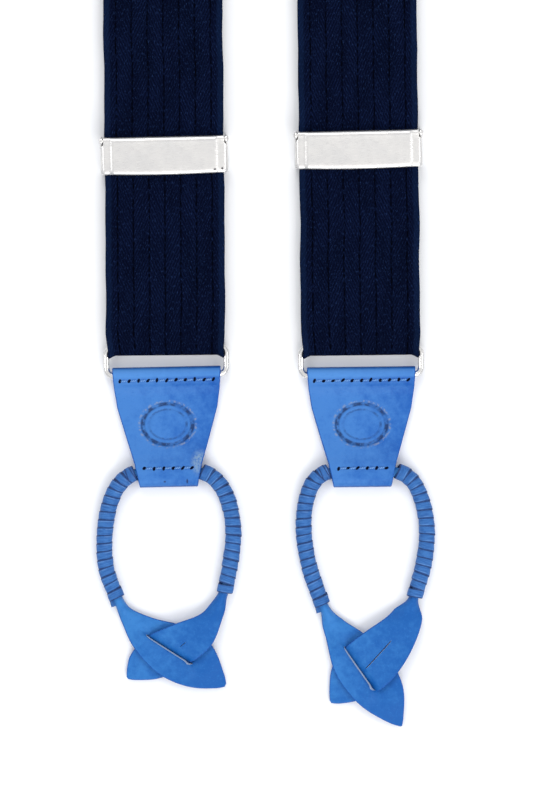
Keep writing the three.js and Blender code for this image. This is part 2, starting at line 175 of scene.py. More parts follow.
LEFT_RING = box_middle("left_ring")
RIGHT_RING = box_middle("right_ring")
ORIGIN = (LEFT_RING + RIGHT_RING) / 2
SIDE_X = (RIGHT_RING.x - LEFT_RING.x) / 2 / MM
REAR_RING_V = (box_middle("rear_ring").y - ORIGIN.y) / MM


def place(x, v, lean=0):
    """The plan whose origin is x, v on the table, turned by lean degrees."""
    shift = Matrix.Translation((ORIGIN.x + x * MM, ORIGIN.y + v * MM, 0))
    return shift @ Matrix.Rotation(math.radians(lean), 4, "Z") @ Matrix.Scale(MM, 4)


def side_x(side):
    return SIDE_X if side == "right" else -SIDE_X


# ---- number helpers ----

def smooth(value, low, high):
    t = np.clip((np.asarray(value, float) - low) / (high - low), 0, 1)
    return t * t * (3 - 2 * t)


def mix(a, b, share):
    return a + (b - a) * share


def unit(vectors):
    return vectors / np.linalg.norm(vectors, axis=-1, keepdims=True)


def spline(points, per_span=16):
    """A centripetal Catmull-Rom curve through the points."""
    p = np.array(points, float)
    p = np.vstack([2 * p[0] - p[1], p, 2 * p[-1] - p[-2]])
    out = []
    for i in range(1, len(p) - 2):
        quad = p[i - 1:i + 3]
        knots = np.concatenate([[0], np.cumsum(np.sqrt(np.linalg.norm(np.diff(quad, axis=0), axis=1)))])
        t = np.linspace(knots[1], knots[2], per_span + 1)[:-1, None]
        level = quad
        for spans in ([(0, 1), (1, 2), (2, 3)], [(0, 2), (1, 3)], [(1, 2)]):
            shares = [(t - knots[low]) / (knots[high] - knots[low]) for low, high in spans]
            level = [mix(level[k], level[k + 1], share) for k, share in enumerate(shares)]
        out.append(level[0])
    return np.vstack([*out, p[-2:-1]])


def lengths(points):
    return np.concatenate([[0], np.cumsum(np.linalg.norm(np.diff(points, axis=0), axis=1))])


def resample(points, where):
    """Points at the given lengths along a polyline."""
    run = lengths(points)
    return np.column_stack([np.interp(where, run, points[:, k]) for k in range(points.shape[1])])


def evenly(points, step):
    total = lengths(points)[-1]
    return resample(points, np.linspace(0, total, max(2, round(total / step) + 1)))


def into_stations(points, count):
    return resample(points, np.linspace(0, lengths(points)[-1], count))


def tangents(points):
    return unit(np.gradient(points, axis=0))


def cos_sin(degrees):
    return math.cos(math.radians(degrees)), math.sin(math.radians(degrees))


def circle(count):
    """Evenly spaced angles of one full turn."""
    return np.linspace(0, 2 * math.pi, count, endpoint=False)


def arc(centre_v, centre_z, radius, from_degrees, to_degrees, steps=12):
    turn = np.radians(np.linspace(from_degrees, to_degrees, steps + 1))
    return list(zip(centre_v + radius * np.cos(turn), centre_z + radius * np.sin(turn)))


def side_view(profile):
    """Points on a plan's middle line, from their v and z."""
    return np.array([(0, v, z) for v, z in profile])


# ---- meshes ----

class Band:
    """A flat strip: rings of points round a section, one ring at each station.

    low and high are its two edges. share runs from -1 at low to 1 at high. Faces are of kind 0 on
    the top, 1 on the edges and 2 on the underside.
    """

    def __init__(self, low, high, normals, thickness, columns, middle=None, edge=0.3, round_share=0,
                 radius=1):
        low, high = np.array(low, float), np.array(high, float)
        middle = (low + high) / 2 if middle is None else np.array(middle, float)
        across = unit(high - low)
        low, high = low + across * edge, high - across * edge
        half = thickness / 2
        shares = np.linspace(-1, 1, 2 * columns + 1)
        corner = np.radians([62, 28, -28, -62])
        entries = [(s, 0, half, 90 - 85 * s) for s in shares]
        entries += [(1, edge * math.cos(a), corner_height(a, half, edge), 4 * a) for a in corner]
        entries += [(s, 0, -half, 85 * s - 90) for s in shares[::-1]]
        entries += [(-1, -edge * math.cos(a), -corner_height(a, half, edge), 180 + 4 * a) for a in corner]
        self.share = np.array([e[0] for e in entries])
        self.top = np.arange(len(entries)) <= 2 * columns
        self.kind = np.array([0] * (2 * columns) + [1] * 5 + [2] * (2 * columns) + [1] * 5)
        self.columns = columns
        points = []
        round_share = np.broadcast_to(round_share, len(low))[:, None]
        for share, out, height, turn in entries:
            flat = mix(middle, high, share) if share >= 0 else mix(low, middle, 1 + share)
            flat = flat + across * out + normals * height
            angle = math.radians(turn)
            ring = middle + radius * (across * math.cos(angle) + normals * math.sin(angle))
            points.append(mix(flat, ring, round_share))
        self.points = np.stack(points, axis=1)

    def raise_by(self, amount):
        self.points[..., 2] += amount


def corner_height(angle, half, edge):
    return math.copysign(half - edge, angle) + edge * math.sin(angle)


def band_faces(stations, around, is_loop=False):
    faces = []
    for i in range(stations if is_loop else stations - 1):
        for j in range(around):
            here, ahead, side = i * around, ((i + 1) % stations) * around, (j + 1) % around
            faces.append((here + j, here + side, ahead + side, ahead + j))
    return faces


def stand(name, data):
    """A new object in the scene."""
    obj = bpy.data.objects.new(name, data)
    bpy.context.scene.collection.objects.link(obj)
    return obj


def make(name, points, faces, looks, where, uv=None, face_looks=None, sharp=40, has_ends=None):
    """A mesh object from points in a plan. has_ends is the number of points round a skin with flat ends."""
    points = np.asarray(points, float).reshape(-1, 3)
    faces = [tuple(f) for f in faces]
    face_looks = [0] * len(faces) if face_looks is None else list(face_looks)
    if has_ends:
        faces += [tuple(range(has_ends)), tuple(range(len(points) - has_ends, len(points)))]
        face_looks += [min(1, len(looks) - 1)] * 2
    mesh = bpy.data.meshes.new(name)
    mesh.from_pydata(points.tolist(), [], faces)
    mesh.transform(where)
    flat = points[:, :2] if uv is None else np.asarray(uv, float).reshape(-1, 2)
    corners = np.empty(len(mesh.loops), int)
    mesh.loops.foreach_get("vertex_index", corners)
    mesh.uv_layers.new(name="plan").data.foreach_set("uv", flat[corners].ravel())
    for look in looks:
        mesh.materials.append(look)
    mesh.polygons.foreach_set("material_index", face_looks)
    turn_outwards(mesh)
    mesh.polygons.foreach_set("use_smooth", [True] * len(mesh.polygons))
    mesh.set_sharp_from_angle(angle=math.radians(sharp))
    mesh.update()
    return stand(name, mesh)


def turn_outwards(mesh):
    shell = bmesh.new()
    shell.from_mesh(mesh)
    bmesh.ops.recalc_face_normals(shell, faces=shell.faces)
    shell.to_mesh(mesh)
    shell.free()


def make_band(name, band, looks, where, along=None, half=0, is_loop=False, kinds=(0, 1, 2), sharp=40):
    """A band's mesh. looks are given for the top, the edges and the underside by kinds.

    along and half are the length at each station and the half width that the look's plan has there.
    """
    stations, around = band.points.shape[:2]
    uv = None
    if along is not None:
        uv = np.stack(np.broadcast_arrays(half * band.share, along[:, None]), axis=-1)
    faces = band_faces(stations, around, is_loop)
    face_looks = np.tile(np.array(kinds)[band.kind], len(faces) // around)
    return make(name, band.points, faces, looks, where, uv, face_looks, sharp, None if is_loop else around)


def merge(name, objects):
    """One object from several, with their materials."""
    bpy.ops.object.select_all(action="DESELECT")
    for obj in objects:
        obj.select_set(True)
    bpy.context.view_layer.objects.active = objects[0]
    bpy.ops.object.join()
    objects[0].name = objects[0].data.name = name
    return objects[0]


def apply_modifiers(obj):
    bpy.context.view_layer.update()
    mesh = bpy.data.meshes.new_from_object(obj.evaluated_get(bpy.context.evaluated_depsgraph_get()))
    obj.modifiers.clear()
    obj.data = mesh


def boolean(obj, cutters, operation="DIFFERENCE"):
    for cutter in cutters:
        step = obj.modifiers.new("step", "BOOLEAN")
        step.operation, step.object, step.solver = operation, cutter, "EXACT"
        step.material_mode = "TRANSFER"
    apply_modifiers(obj)
    for cutter in cutters:
        bpy.data.objects.remove(cutter)
    obj.data.set_sharp_from_angle(angle=math.radians(40))
    return obj


def tube(name, path, radius, look, where, sides=16, step=None, is_loop=False):
    """A round bar; radius may change along it."""
    points = evenly(path, step) if step else path
    along = tangents(points)
    if is_loop:
        along = unit(np.roll(points, -1, axis=0) - np.roll(points, 1, axis=0))
    across = unit(np.cross(along, [0, 0, 1.0]))
    up = np.cross(across, along)
    turn = circle(sides)
    reach = np.broadcast_to(radius, len(points))[:, None, None]
    cos, sin = np.cos(turn)[None, :, None], np.sin(turn)[None, :, None]
    rings = points[:, None] + reach * (across[:, None] * cos + up[:, None] * sin)
    uv = np.stack(np.broadcast_arrays(turn * 2, lengths(points)[:, None]), axis=-1)
    faces = band_faces(len(points), sides, is_loop)
    return make(name, rings, faces, [look], where, uv, sharp=50, has_ends=None if is_loop else sides)


def strip(points, half, thickness, columns, edge, sign=1.0):
    """A band that lies level across and bends in its side view only; sign turns its top over."""
    across = np.broadcast_to([sign, 0, 0], points.shape)
    normals = unit(np.cross(across, tangents(points)))
    return Band(points - across * half, points + across * half, normals, thickness, columns, edge=edge)


# ---- materials ----

class Nodes:
    """Short calls for building the nodes of one material or world."""

    def __init__(self, owner):
        owner.use_nodes = True
        self.owner, self.tree = owner, owner.node_tree

    def new(self, kind, inputs=(), **settings):
        node = self.tree.nodes.new(kind)
        for key, value in settings.items():
            setattr(node, key, value)
        for key, value in dict(inputs).items():
            self.put(node.inputs[key], value)
        return node

    def put(self, socket, value):
        if isinstance(value, bpy.types.NodeSocket):
            self.tree.links.new(value, socket)
        else:
            socket.default_value = value

    def math(self, operation, *values):
        return self.new("ShaderNodeMath", enumerate(values), operation=operation).outputs[0]

    def add(self, a, b):
        return self.math("ADD", a, b)

    def less(self, a, b):
        return self.math("SUBTRACT", a, b)

    def times(self, a, b):
        return self.math("MULTIPLY", a, b)

    def size(self, value):
        return self.math("ABSOLUTE", value)

    def ellipse(self, across, along, half_u, half_v):
        """Distance from an ellipse's middle, as a share of its size."""
        parts = ((across, half_u), (along, half_v))
        squares = [self.math("POWER", self.math("DIVIDE", *part), 2) for part in parts]
        return self.math("SQRT", self.add(*squares))

    def ramp(self, value, low, high, to_low=0.0, to_high=1.0):
        inputs = {"Value": value, "From Min": low, "From Max": high, "To Min": to_low, "To Max": to_high}
        return self.new("ShaderNodeMapRange", inputs, interpolation_type="SMOOTHSTEP").outputs[0]

    def colour(self, share, first, second):
        return self.new("ShaderNodeMix", {0: share, 6: first, 7: second}, data_type="RGBA").outputs[2]

    def tint(self, base, tone, *shares):
        """base, coloured with tone by the product of the shares."""
        return self.colour(functools.reduce(self.times, shares), base, tone)

    def noise(self, scale, detail=3, roughness=0.55, stretch=None):
        vector = self.plan
        if stretch:
            inputs = {0: vector, 1: (*stretch, 1)}
            vector = self.new("ShaderNodeVectorMath", inputs, operation="MULTIPLY").outputs[0]
        inputs = {"Vector": vector, "Scale": scale, "Detail": detail, "Roughness": roughness}
        return self.new("ShaderNodeTexNoise", inputs).outputs[0]

    def bump(self, height, strength, depth):
        inputs = {"Height": height, "Strength": strength, "Distance": depth * MM}
        return self.new("ShaderNodeBump", inputs).outputs[0]

    def finish(self, base, rough, normal=None, specular=0.5, metallic=0.0):
        shader = self.tree.nodes["Principled BSDF"]
        sockets = {"Base Color": base, "Roughness": rough, "Specular IOR Level": specular,
                   "Metallic": metallic}
        if normal:
            sockets["Normal"] = normal
        for key, value in sockets.items():
            self.put(shader.inputs[key], value)
        return self.owner


def surface(name):
    """The nodes of a new material, which follows the plan's u and v."""
    n = Nodes(bpy.data.materials.new(name))
    n.plan = n.new("ShaderNodeUVMap", uv_map="plan").outputs[0]
    n.u, n.v = n.new("ShaderNodeSeparateXYZ", {0: n.plan}).outputs[:2]
    return n


def lit(red, green, blue):
    """The shader colour that shows as these 0-255 display values, level and in the open, in this studio."""
    shares = [c / 255 for c in (red, green, blue)]
    linear = [c / 12.92 if c <= 0.04045 else ((c + 0.055) / 1.055) ** 2.4 for c in shares]
    return (*(c / STUDIO_LEVEL for c in linear), 1)


def webbing_look():
    """Herringbone weave: steep twill that turns over at every column, and a fine selvedge."""
    column, twill_pitch, pick_pitch, full_turn = 4.7, 0.78, 0.42, 2 * math.pi
    n = surface("webbing")
    bend = n.times(n.less(n.noise(0.7), 0.5), 0.5)
    folded = n.math("PINGPONG", n.add(n.u, 100 * column), column)
    phase = n.add(n.times(folded, 0.91 / twill_pitch), n.times(n.v, 0.42 / twill_pitch))
    twill = n.ramp(n.math("SINE", n.times(n.add(phase, bend), full_turn)), -1, 1)
    pick = n.ramp(n.math("SINE", n.times(n.v, full_turn / pick_pitch)), -1, 1)
    line = n.ramp(n.math("MINIMUM", folded, n.less(column, folded)), 0.06, 0.42, 1, 0)
    broken = n.ramp(n.noise(1.3, stretch=(1.0, 0.45)), 0.36, 0.56)
    cloud = n.ramp(n.noise(0.12, stretch=(1.6, 0.5)), 0.35, 0.65)
    selvedge = n.ramp(n.size(n.u), STRAP_HALF - 1.7, STRAP_HALF - 0.9)
    fibres = n.noise(1.0, 4, 0.7, stretch=(3.6, 1.1))
    base = n.colour(twill, lit(4, 9, 30), lit(10, 20, 50))
    base = n.tint(base, lit(2, 5, 24), cloud, 0.6)
    base = n.tint(base, lit(38, 60, 104), n.ramp(fibres, 0.54, 0.7, 0, 0.85))
    base = n.tint(base, lit(3, 8, 26), pick, 0.2)
    base = n.tint(base, lit(0, 1, 8), line, n.times(broken, 0.95))
    base = n.tint(base, lit(22, 42, 78), selvedge, 0.3)
    height = n.add(n.times(twill, 0.8), n.times(pick, 0.35))
    height = n.less(height, n.times(line, n.add(0.2, broken)))
    return n.finish(base, n.ramp(fibres, 0.2, 0.8, 0.8, 0.95), n.bump(height, 0.6, 0.13), 0.02)


def spotted(n, base, spots, tone):
    """Small dark marks, each at its own u and v, with its own half width and half height."""
    for spot_u, spot_v, half_u, half_v in spots:
        reach = n.ellipse(n.add(n.u, -spot_u), n.add(n.v, -spot_v), half_u, half_v)
        base = n.tint(base, tone, n.ramp(reach, 0.6, 1.2, 0.85, 0))
    return base


def leather_look(name, light, deep, shade_run, fall, is_face=False, is_lace=False, spots=()):
    """Aniline-dyed leather: clouded colour with painted light and shade that deepen it one way, pores,
    creases painted darker as shade, wrinkle crests painted lighter as highlight, and pale rubbing.
    """
    n = surface(name)
    # Painted light and shade: the colour runs from the light tone to the deep one across u and along v, as
    # if lit from one side; the two noise clouds added to it are the leather's own uneven tone.
    share = n.add(n.times(n.u, 0.022), n.times(n.v, 1.0 / shade_run))
    for cloud, amount in ((n.noise(0.1, 3, 0.6), 1.1), (n.noise(0.36, 5, 0.7), 1.3)):
        share = n.add(share, n.times(n.less(cloud, 0.5), amount))
    base = n.colour(n.ramp(share, fall, fall + 1.0), light, deep)
    pores = n.new("ShaderNodeTexVoronoi", {"Vector": n.plan, "Scale": 2.2}).outputs[0]
    wrinkle = n.noise(1.3, 5, 0.65)
    crease = n.ramp(n.noise(1.1, 4, 0.7, stretch=(0.5, 1.5)), 0.6, 0.7)
    # Painted shade: the crease hollows are tinted towards the deep tone. Painted highlight: the raised
    # wrinkle crests are tinted towards the light tone.
    base = n.tint(base, deep, crease, 0.35)
    base = n.tint(base, light, n.ramp(wrinkle, 0.5, 0.75, 0, 0.5))
    base = n.tint(base, lit(36, 86, 160), n.ramp(n.noise(4.2, 3, 0.7), 0.62, 0.74, 0, 0.6))
    worn = n.new("ShaderNodeAttribute", attribute_name="wear").outputs["Fac"]
    rub = n.times(worn, n.ramp(n.noise(1.3, 4, 0.7), 0.3, 0.58))
    base = n.tint(base, lit(128, 160, 196), rub)
    pressed = 0.0
    if is_face:
        # The face gets painted light and shade on its folds, then its small dark marks.
        base = spotted(n, fold_light_and_shade(n, base), spots, lit(8, 40, 96))
        base, pressed = pressed_oval(n, base)
    if is_lace:
        base = lace_streaks(n, base)
    rough = n.add(n.ramp(wrinkle, 0.3, 0.7, 0.46, 0.62), n.times(rub, 0.25))
    height = n.add(n.times(pores, 0.45), n.times(wrinkle, 1.4))
    for hollow, depth in ((crease, 0.5), (pressed, 1.2)):
        height = n.less(height, n.times(hollow, depth))
    return n.finish(base, rough, n.bump(height, 0.5, 0.12), 0.28)


def fold_light_and_shade(n, base):
    """Painted light and shade on the tab's folds: the band just below the top fold is painted lighter as a
    highlight, and its two folded ends carry a painted dark shade line.
    """
    light = n.times(n.ramp(n.v, -5.2, -4.2), n.ramp(n.v, TAB_TOP - 0.5, TAB_TOP - 0.9))
    upper = n.ramp(n.v, TAB_TOP - 0.5, TAB_TOP - 0.15)
    lower = n.ramp(n.v, TAB_BOTTOM + 0.4, TAB_BOTTOM + 0.15)
    base = n.tint(base, lit(86, 152, 226), light, 0.6)
    return n.tint(base, lit(14, 66, 140), n.add(upper, lower), 0.75)


def lace_streaks(n, base):
    """A narrow lace's stretched grain, darker along both edges (the lace's own dark edge and painted shade
    where the turns meet), with a painted pale highlight beside the lapped edge.
    """
    streak = n.ramp(n.noise(1.0, stretch=(3.0, 0.4)), 0.42, 0.62)
    dark = n.ramp(n.size(n.u), LACE_HALF - 0.4, LACE_HALF - 0.12)
    lap_highlight = n.ramp(n.size(n.less(n.u, LACE_HALF - 0.5)), 0.05, 0.25, 1, 0)
    patchy = n.ramp(n.noise(0.5, 3, 0.6), 0.4, 0.6)
    base = n.tint(base, lit(18, 76, 150), streak, 0.55)
    # Painted highlight: a pale line beside the raised lapped edge.
    base = n.tint(base, lit(112, 156, 214), lap_highlight, n.times(patchy, 0.5))
    # Painted shade, with the lace's own dark edge: darker towards both edges, where the turns meet.
    return n.tint(base, lit(12, 42, 100), dark, 0.8)


def pressed_oval(n, base):
    """The pressed lines, painted dark as shade in the grooves and darkest where the noise says the tool bit
    deepest, with a pale rim painted outside them as a highlight.
    """
    rise = n.add(n.v, -OVAL["v"])

    def distance(half_u, half_v):
        return n.times(n.less(n.ellipse(n.u, rise, half_u, half_v), 1), (half_u + half_v) / 2)

    outer, inner = distance(*OVAL["outer"]), distance(*OVAL["inner"])
    lines = n.ramp(n.size(outer), 0.25, 0.8, 1, 0), n.ramp(n.size(inner), 0.12, 0.45, 0.6, 0)
    line = n.math("MAXIMUM", *lines)
    bite = n.ramp(n.noise(0.45, 3, 0.6), 0.38, 0.62, 0.15, 1)
    rim = n.ramp(n.size(n.less(outer, 0.9)), 0.1, 0.55, 0.75, 0)
    # Painted highlight: a pale rim just outside the outer groove.
    base = n.tint(base, lit(136, 150, 178), rim, n.ramp(n.noise(1.1, 3, 0.7), 0.45, 0.62))
    # Painted shade: the groove lines are tinted dark.
    return n.tint(base, lit(14, 46, 96), line, n.times(bite, 0.9)), line


def plain_fibre_look(name, first, second, scale, rough=0.8):
    """Cut edges and hole walls: two tones broken up by fine noise."""
    n = surface(name)
    grain = n.noise(scale, 4, 0.65)
    base = n.colour(n.ramp(grain, 0.35, 0.65), first, second)
    roughness = n.ramp(grain, 0.3, 0.7, rough - 0.08, rough + 0.08)
    return n.finish(base, roughness, n.bump(grain, 0.6, 0.08), 0.3)


def thread_look():
    """Two plies of thread, twisted."""
    n = surface("thread")
    ply = n.ramp(n.math("SINE", n.add(n.times(n.v, 9.0), n.u)), -1, 1)
    fuzz = n.noise(6)
    base = n.colour(ply, lit(62, 118, 196), lit(128, 180, 240))
    base = n.tint(base, lit(150, 192, 240), n.ramp(fuzz, 0.5, 0.8, 0, 0.4))
    return n.finish(base, n.ramp(fuzz, 0.3, 0.7, 0.6, 0.8), n.bump(ply, 0.7, 0.08), 0.3)


def nickel_look(name="nickel", rough=0.3, spots=()):
    """Satin plated steel: soft rolling lines, faint scratches and slightly uneven plating."""
    n = surface(name)
    brushed = n.noise(1.0, 4, 0.6, stretch=(0.5, 9))
    scratch = n.ramp(n.noise(1.0, 2, stretch=(0.35, 24)), 0.64, 0.72)
    base = n.colour(n.ramp(n.noise(0.16), 0.3, 0.7), (0.795, 0.775, 0.745, 1), (0.735, 0.72, 0.70, 1))
    base = n.tint(base, (0.62, 0.61, 0.60, 1), scratch, 0.25)
    base = spotted(n, base, spots, (0.02, 0.02, 0.03, 1))
    roughness = n.ramp(brushed, 0.25, 0.75, rough - 0.06, rough + 0.1)
    return n.finish(base, roughness, n.bump(brushed, 0.12, 0.03), metallic=1.0)


def floor_look():
    n = Nodes(bpy.data.materials.new("table_top"))
    n.plan = n.new("ShaderNodeTexCoord").outputs["Object"]
    base = n.colour(n.noise(60, 2), (0.93, 0.935, 0.945, 1), (0.95, 0.955, 0.965, 1))
    return n.finish(base, 0.85, specular=0.1)


# The last two numbers of each leather look set its painted light-to-shade gradient: how fast it deepens
# along v, and where it starts.
TAB_BLUES = (lit(64, 130, 208), lit(0, 90, 182), -600, -0.3)
WEBBING = webbing_look()
TAB_LEATHER = leather_look("tab_leather", *TAB_BLUES)
TAB_FACE = leather_look("tab_face_leather", *TAB_BLUES, is_face=True)
WORN_TAB_FACE = leather_look("worn_tab_face_leather", *TAB_BLUES, is_face=True,
                             spots=((-1.1, -34.9, 0.35, 0.3), (5.4, -34.9, 0.3, 0.7)))
BLADE_LEATHER = leather_look("blade_leather", lit(52, 131, 207), lit(0, 94, 178), -120, 0.1)
LACING = leather_look("lacing_leather", lit(58, 119, 191), lit(22, 82, 154), -900, -0.35, is_lace=True)
PATCH_LEATHER = leather_look("patch_leather", lit(70, 132, 208), lit(0, 92, 182), 700, -0.3)
EDGE_PAINT = plain_fibre_look("edge_paint", lit(14, 74, 160), lit(40, 108, 196), 2.2)
LACE_EDGE = plain_fibre_look("lace_edge", lit(20, 52, 112), lit(62, 92, 142), 1.4)
CUT_EDGE = plain_fibre_look("cut_edge", lit(170, 198, 230), lit(220, 226, 232), 3.0, 0.85)
# Painted shade: the stitch holes' walls and floors are a very dark navy that stands for the shade inside the
# holes.
SHADED_HOLE_WALL = plain_fibre_look("shaded_hole_wall", lit(4, 18, 60), lit(10, 34, 84), 3.0, 0.9)
THREAD = thread_look()
NICKEL = nickel_look()
# Painted shade: two near-black spots at the plate's lower corner stand for the dark gaps at the frame.
GAP_SHADED_NICKEL = nickel_look("gap_shaded_nickel", spots=((14.3, 1.0, 0.42, 0.36), (16.4, 1.2, 0.36, 0.4)))
WIRE_NICKEL = nickel_look("wire_nickel", 0.22)


def attach(obj, body, slot, *nodes):
    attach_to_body(obj, body)
    if nodes:
        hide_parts(*nodes)
    return obj


# ---- webbing ----

def webbing_mesh(name, band, where, points, half=STRAP_HALF):
    return make_band(name, band, [WEBBING], where, lengths(points), half, kinds=(0, 0, 0), sharp=80)


def turn_profile():
    """v and z of the webbing's turn round a ring, from the layer on top to the layer below."""
    lip = RING_HALF_HEIGHT + 1.5
    turn = arc(RING_HALF_HEIGHT, RING_Z, FOLD_RADIUS, 90, 270, 16)
    return [(lip + 1.5, STRAP_Z), *turn, (lip + 1, TAIL_Z)]


def droop_corners(band):
    """At a ring the webbing's corners hang round the ring's own corners."""
    u, v = band.points[..., 0], band.points[..., 1]
    near = 1 - smooth(v, 3.2, 8.5)
    band.points[..., 1] -= 0.85 * near * smooth(np.abs(u), 15.2, 17.0)
    band.points[..., 0] = u * (1 - near * (1 - FOLD_HALF / STRAP_HALF))
    return band


def ripple(band, seed, height=0.1):
    """Slow unevenness of webbing that lies loose: its level and its edges wander a little."""
    draw = np.random.default_rng(seed)
    v = band.points[..., 1]
    for wave in (17.0, 29.0, 47.0):
        shift = draw.uniform(0, 2 * math.pi, 2)
        size = height * wave / 47
        band.raise_by(size * np.sin(v / wave * 2 * math.pi + shift[0] + band.share * 0.8))
        band.points[..., 0] += 0.09 * np.sin(v / wave * 2 * math.pi + shift[1])
    return band


def front_middle(side):
    """The strap's middle line in its own leaning plan, from the patch down to the ring."""
    c, s = cos_sin(SIDES[side]["strap_lean"])
    sign = 1 if side == "right" else -1
    back = np.array([[c, s], [-s, c]])

    def to_plan(x, v):
        return back @ np.array([x - sign * SIDE_X, v])

    start, pull = np.array([0, STRAIGHT_END]), np.array([0, STRAIGHT_END + 150])
    guide, end = to_plan(sign * 56, PATCH_V - 130), to_plan(sign * 21, PATCH_V - 11)
    t = np.linspace(0, 1, 60)[:, None]
    bow = (1 - t) ** 3 * start + 3 * t * (1 - t) ** 2 * pull + 3 * t * t * (1 - t) * guide + t ** 3 * end
    fall = smooth(t[:, 0], 0.72, 0.93)
    upper = np.column_stack([bow, mix(STRAP_Z, PATCH_STRAP_Z, fall)])[::-1]
    levels = np.concatenate([np.arange(STRAIGHT_END - 5, 12, -5.0), np.arange(12, 7.2, -1.0)])
    lower = [(v, STRAP_Z) for v in levels] + turn_profile()
    return np.vstack([upper, side_view(lower)])


def front_strap(side):
    middle = front_middle(side)
    heading = np.where((middle[:, 1] < 12)[:, None], [0, -1.0, 0], tangents(middle))
    across = unit(np.cross(heading, [0, 0, 1.0]))
    normals = unit(np.cross(across, tangents(middle)))
    reach = across * STRAP_HALF
    band = Band(middle - reach, middle + reach, normals, STRAP_THICK, 20, edge=0.5)
    droop_corners(ripple(band, 3 if side == "left" else 8))
    where = place(side_x(side), 0, SIDES[side]["strap_lean"])
    strap = webbing_mesh(side + "_strap", band, where, middle)
    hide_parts(side + "_front_strap", side + "_strap_run", side + "_strap_bight")
    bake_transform(strap)


def strap_tail(side):
    """The layer behind the strap, from the ring up to the adjuster's bar, and round it."""
    turn = SIDES[side]["adjuster_v"] - 2.1
    profile = [(v, TAIL_Z) for v in np.arange(RING_HALF_HEIGHT + 2.6, turn - 1, 4.0)]
    profile += arc(turn, TAIL_Z + STRAP_THICK, STRAP_THICK, -90, 90, 10)
    profile += [(v, TAIL_Z + 2 * STRAP_THICK) for v in np.arange(turn - 2, turn - 13, -2.0)]
    points, half = side_view(profile), STRAP_HALF - 0.4
    where = place(side_x(side), 0, SIDES[side]["strap_lean"])
    band = strip(points, half, STRAP_THICK, 10, 0.5)
    tail = webbing_mesh(side + "_strap_tail_layer", band, where, points, half)
    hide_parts(side + "_strap_tail")
    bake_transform(tail)


# ---- adjuster ----

def adjuster_place(side):
    facts = SIDES[side]
    c, s = cos_sin(facts["strap_lean"])
    return place(side_x(side) - facts["adjuster_v"] * s, facts["adjuster_v"] * c, facts["adjuster_lean"])


def extrude(outline, low, high, where, bevel=0.15):
    """A nickel plate: an outline in v and z, from low to high in u, with its edges rounded."""
    points = [(u, v, z) for u in (low, high) for v, z in outline]
    obj = make("plate", points, band_faces(2, len(outline)), [NICKEL], where,
               uv=[(v, z) for _, v, z in points], has_ends=len(outline), sharp=35)
    rounding = obj.modifiers.new("rounding", "BEVEL")
    rounding.width, rounding.segments, rounding.limit_method = bevel * MM, 3, "ANGLE"
    rounding.angle_limit = math.radians(50)
    apply_modifiers(obj)
    return obj


def adjuster_frame(side):
    """Two side walls with round ears for the pin, and the two bars behind the strap."""
    where = adjuster_place(side)
    ear = arc(HINGE_V, HINGE_Z, 1.15, 0, 180, 14)
    wall = [(-5, 0.1), (5, 0.1), (5.2, 0.4), *ear, (2.2, 4.6), (-4.4, 4.6), (-5, 4)]
    pieces = [extrude(wall, u * WALL_INNER, u * WALL_OUTER, where) for u in (-1, 1)]
    bar_z, reach = TAIL_Z + STRAP_THICK / 2 + 0.25, WALL_INNER + 0.3
    for low, high in ((-4.8, -2.4), (1.6, 5)):
        bar = [(low, bar_z), (high, bar_z), (high, bar_z + 0.6), (low, bar_z + 0.6)]
        pieces.append(extrude(bar, -reach, reach, where, 0.2))
    whole = boolean(pieces[0], pieces[1:], "UNION")
    whole.name = side + "_adjuster_side_frame"
    return attach(whole, side + "_adjuster", "nickel", side + "_adjuster_frame")


def adjuster_lever(side):
    """The pressed front plate: a raised panel between two creases, rolled round the pin at its top."""
    profile = [(PLATE_BOTTOM, 5.0), (PLATE_BOTTOM + 0.2, 5.28), (PLATE_BOTTOM + 0.7, 5.46), (-3.5, 5.66),
               (-1, 6.02), (1.2, 6.34), (3, 6.6), *arc(HINGE_V, HINGE_Z, 0.8, 96, -150, 22)]
    path = evenly(spline(side_view(profile), 6), 0.33)
    over_walls = (1 - smooth(path[:, 1], 2.7, 3.0)) * (path[:, 2] > 4.9)
    band = strip(path, mix(PLATE_HALF, PLATE_OVER_WALLS, over_walls)[:, None], 0.42, 48, 0.18)
    u, run = band.points[..., 0], lengths(path)[:, None]
    on_plate = 1 - smooth(run, 9.4, 10.4)
    raised = 1 - smooth(np.abs(u), PANEL_HALF - 0.3, PANEL_HALF + 0.4)
    band.raise_by((0.3 * raised - 0.12) * on_plate - 0.35 * smooth(np.abs(u), 17.4, 18.1) * on_plate)
    band.points[..., 1] -= 0.3 * np.clip(1 - (u / PANEL_HALF) ** 2, 0, 1) * (1 - smooth(run, 0, 3.5))
    look = GAP_SHADED_NICKEL if side == "left" else NICKEL
    lever = make_band(side + "_lever_plate", band, [look], adjuster_place(side), lengths(path), PLATE_HALF,
                      kinds=(0, 0, 0), sharp=60)
    return attach(lever, side + "_adjuster_lever", "nickel", side + "_adjuster_lever")


def adjuster_pin(side):
    """A rivet: a plain shaft between two domed heads."""
    end = WALL_OUTER + 0.02
    dome = [(0.34, 0.1), (0.31, 0.4), (0.22, 0.64), (0.06, 0.76), (0, 0.74), (-0.05, PIN_RADIUS)]
    stations = [(-end - out, radius) for out, radius in dome]
    stations += [(-u, r) for u, r in stations[::-1]]
    path = np.array([(u, HINGE_V, HINGE_Z) for u, _ in stations])
    radius = np.array([r for _, r in stations])
    pin = tube(side + "_lever_pin", path, radius, NICKEL, adjuster_place(side), sides=20)
    return attach(pin, side + "_adjuster", "nickel", side + "_adjuster_pin")


# ---- ring and tab ----

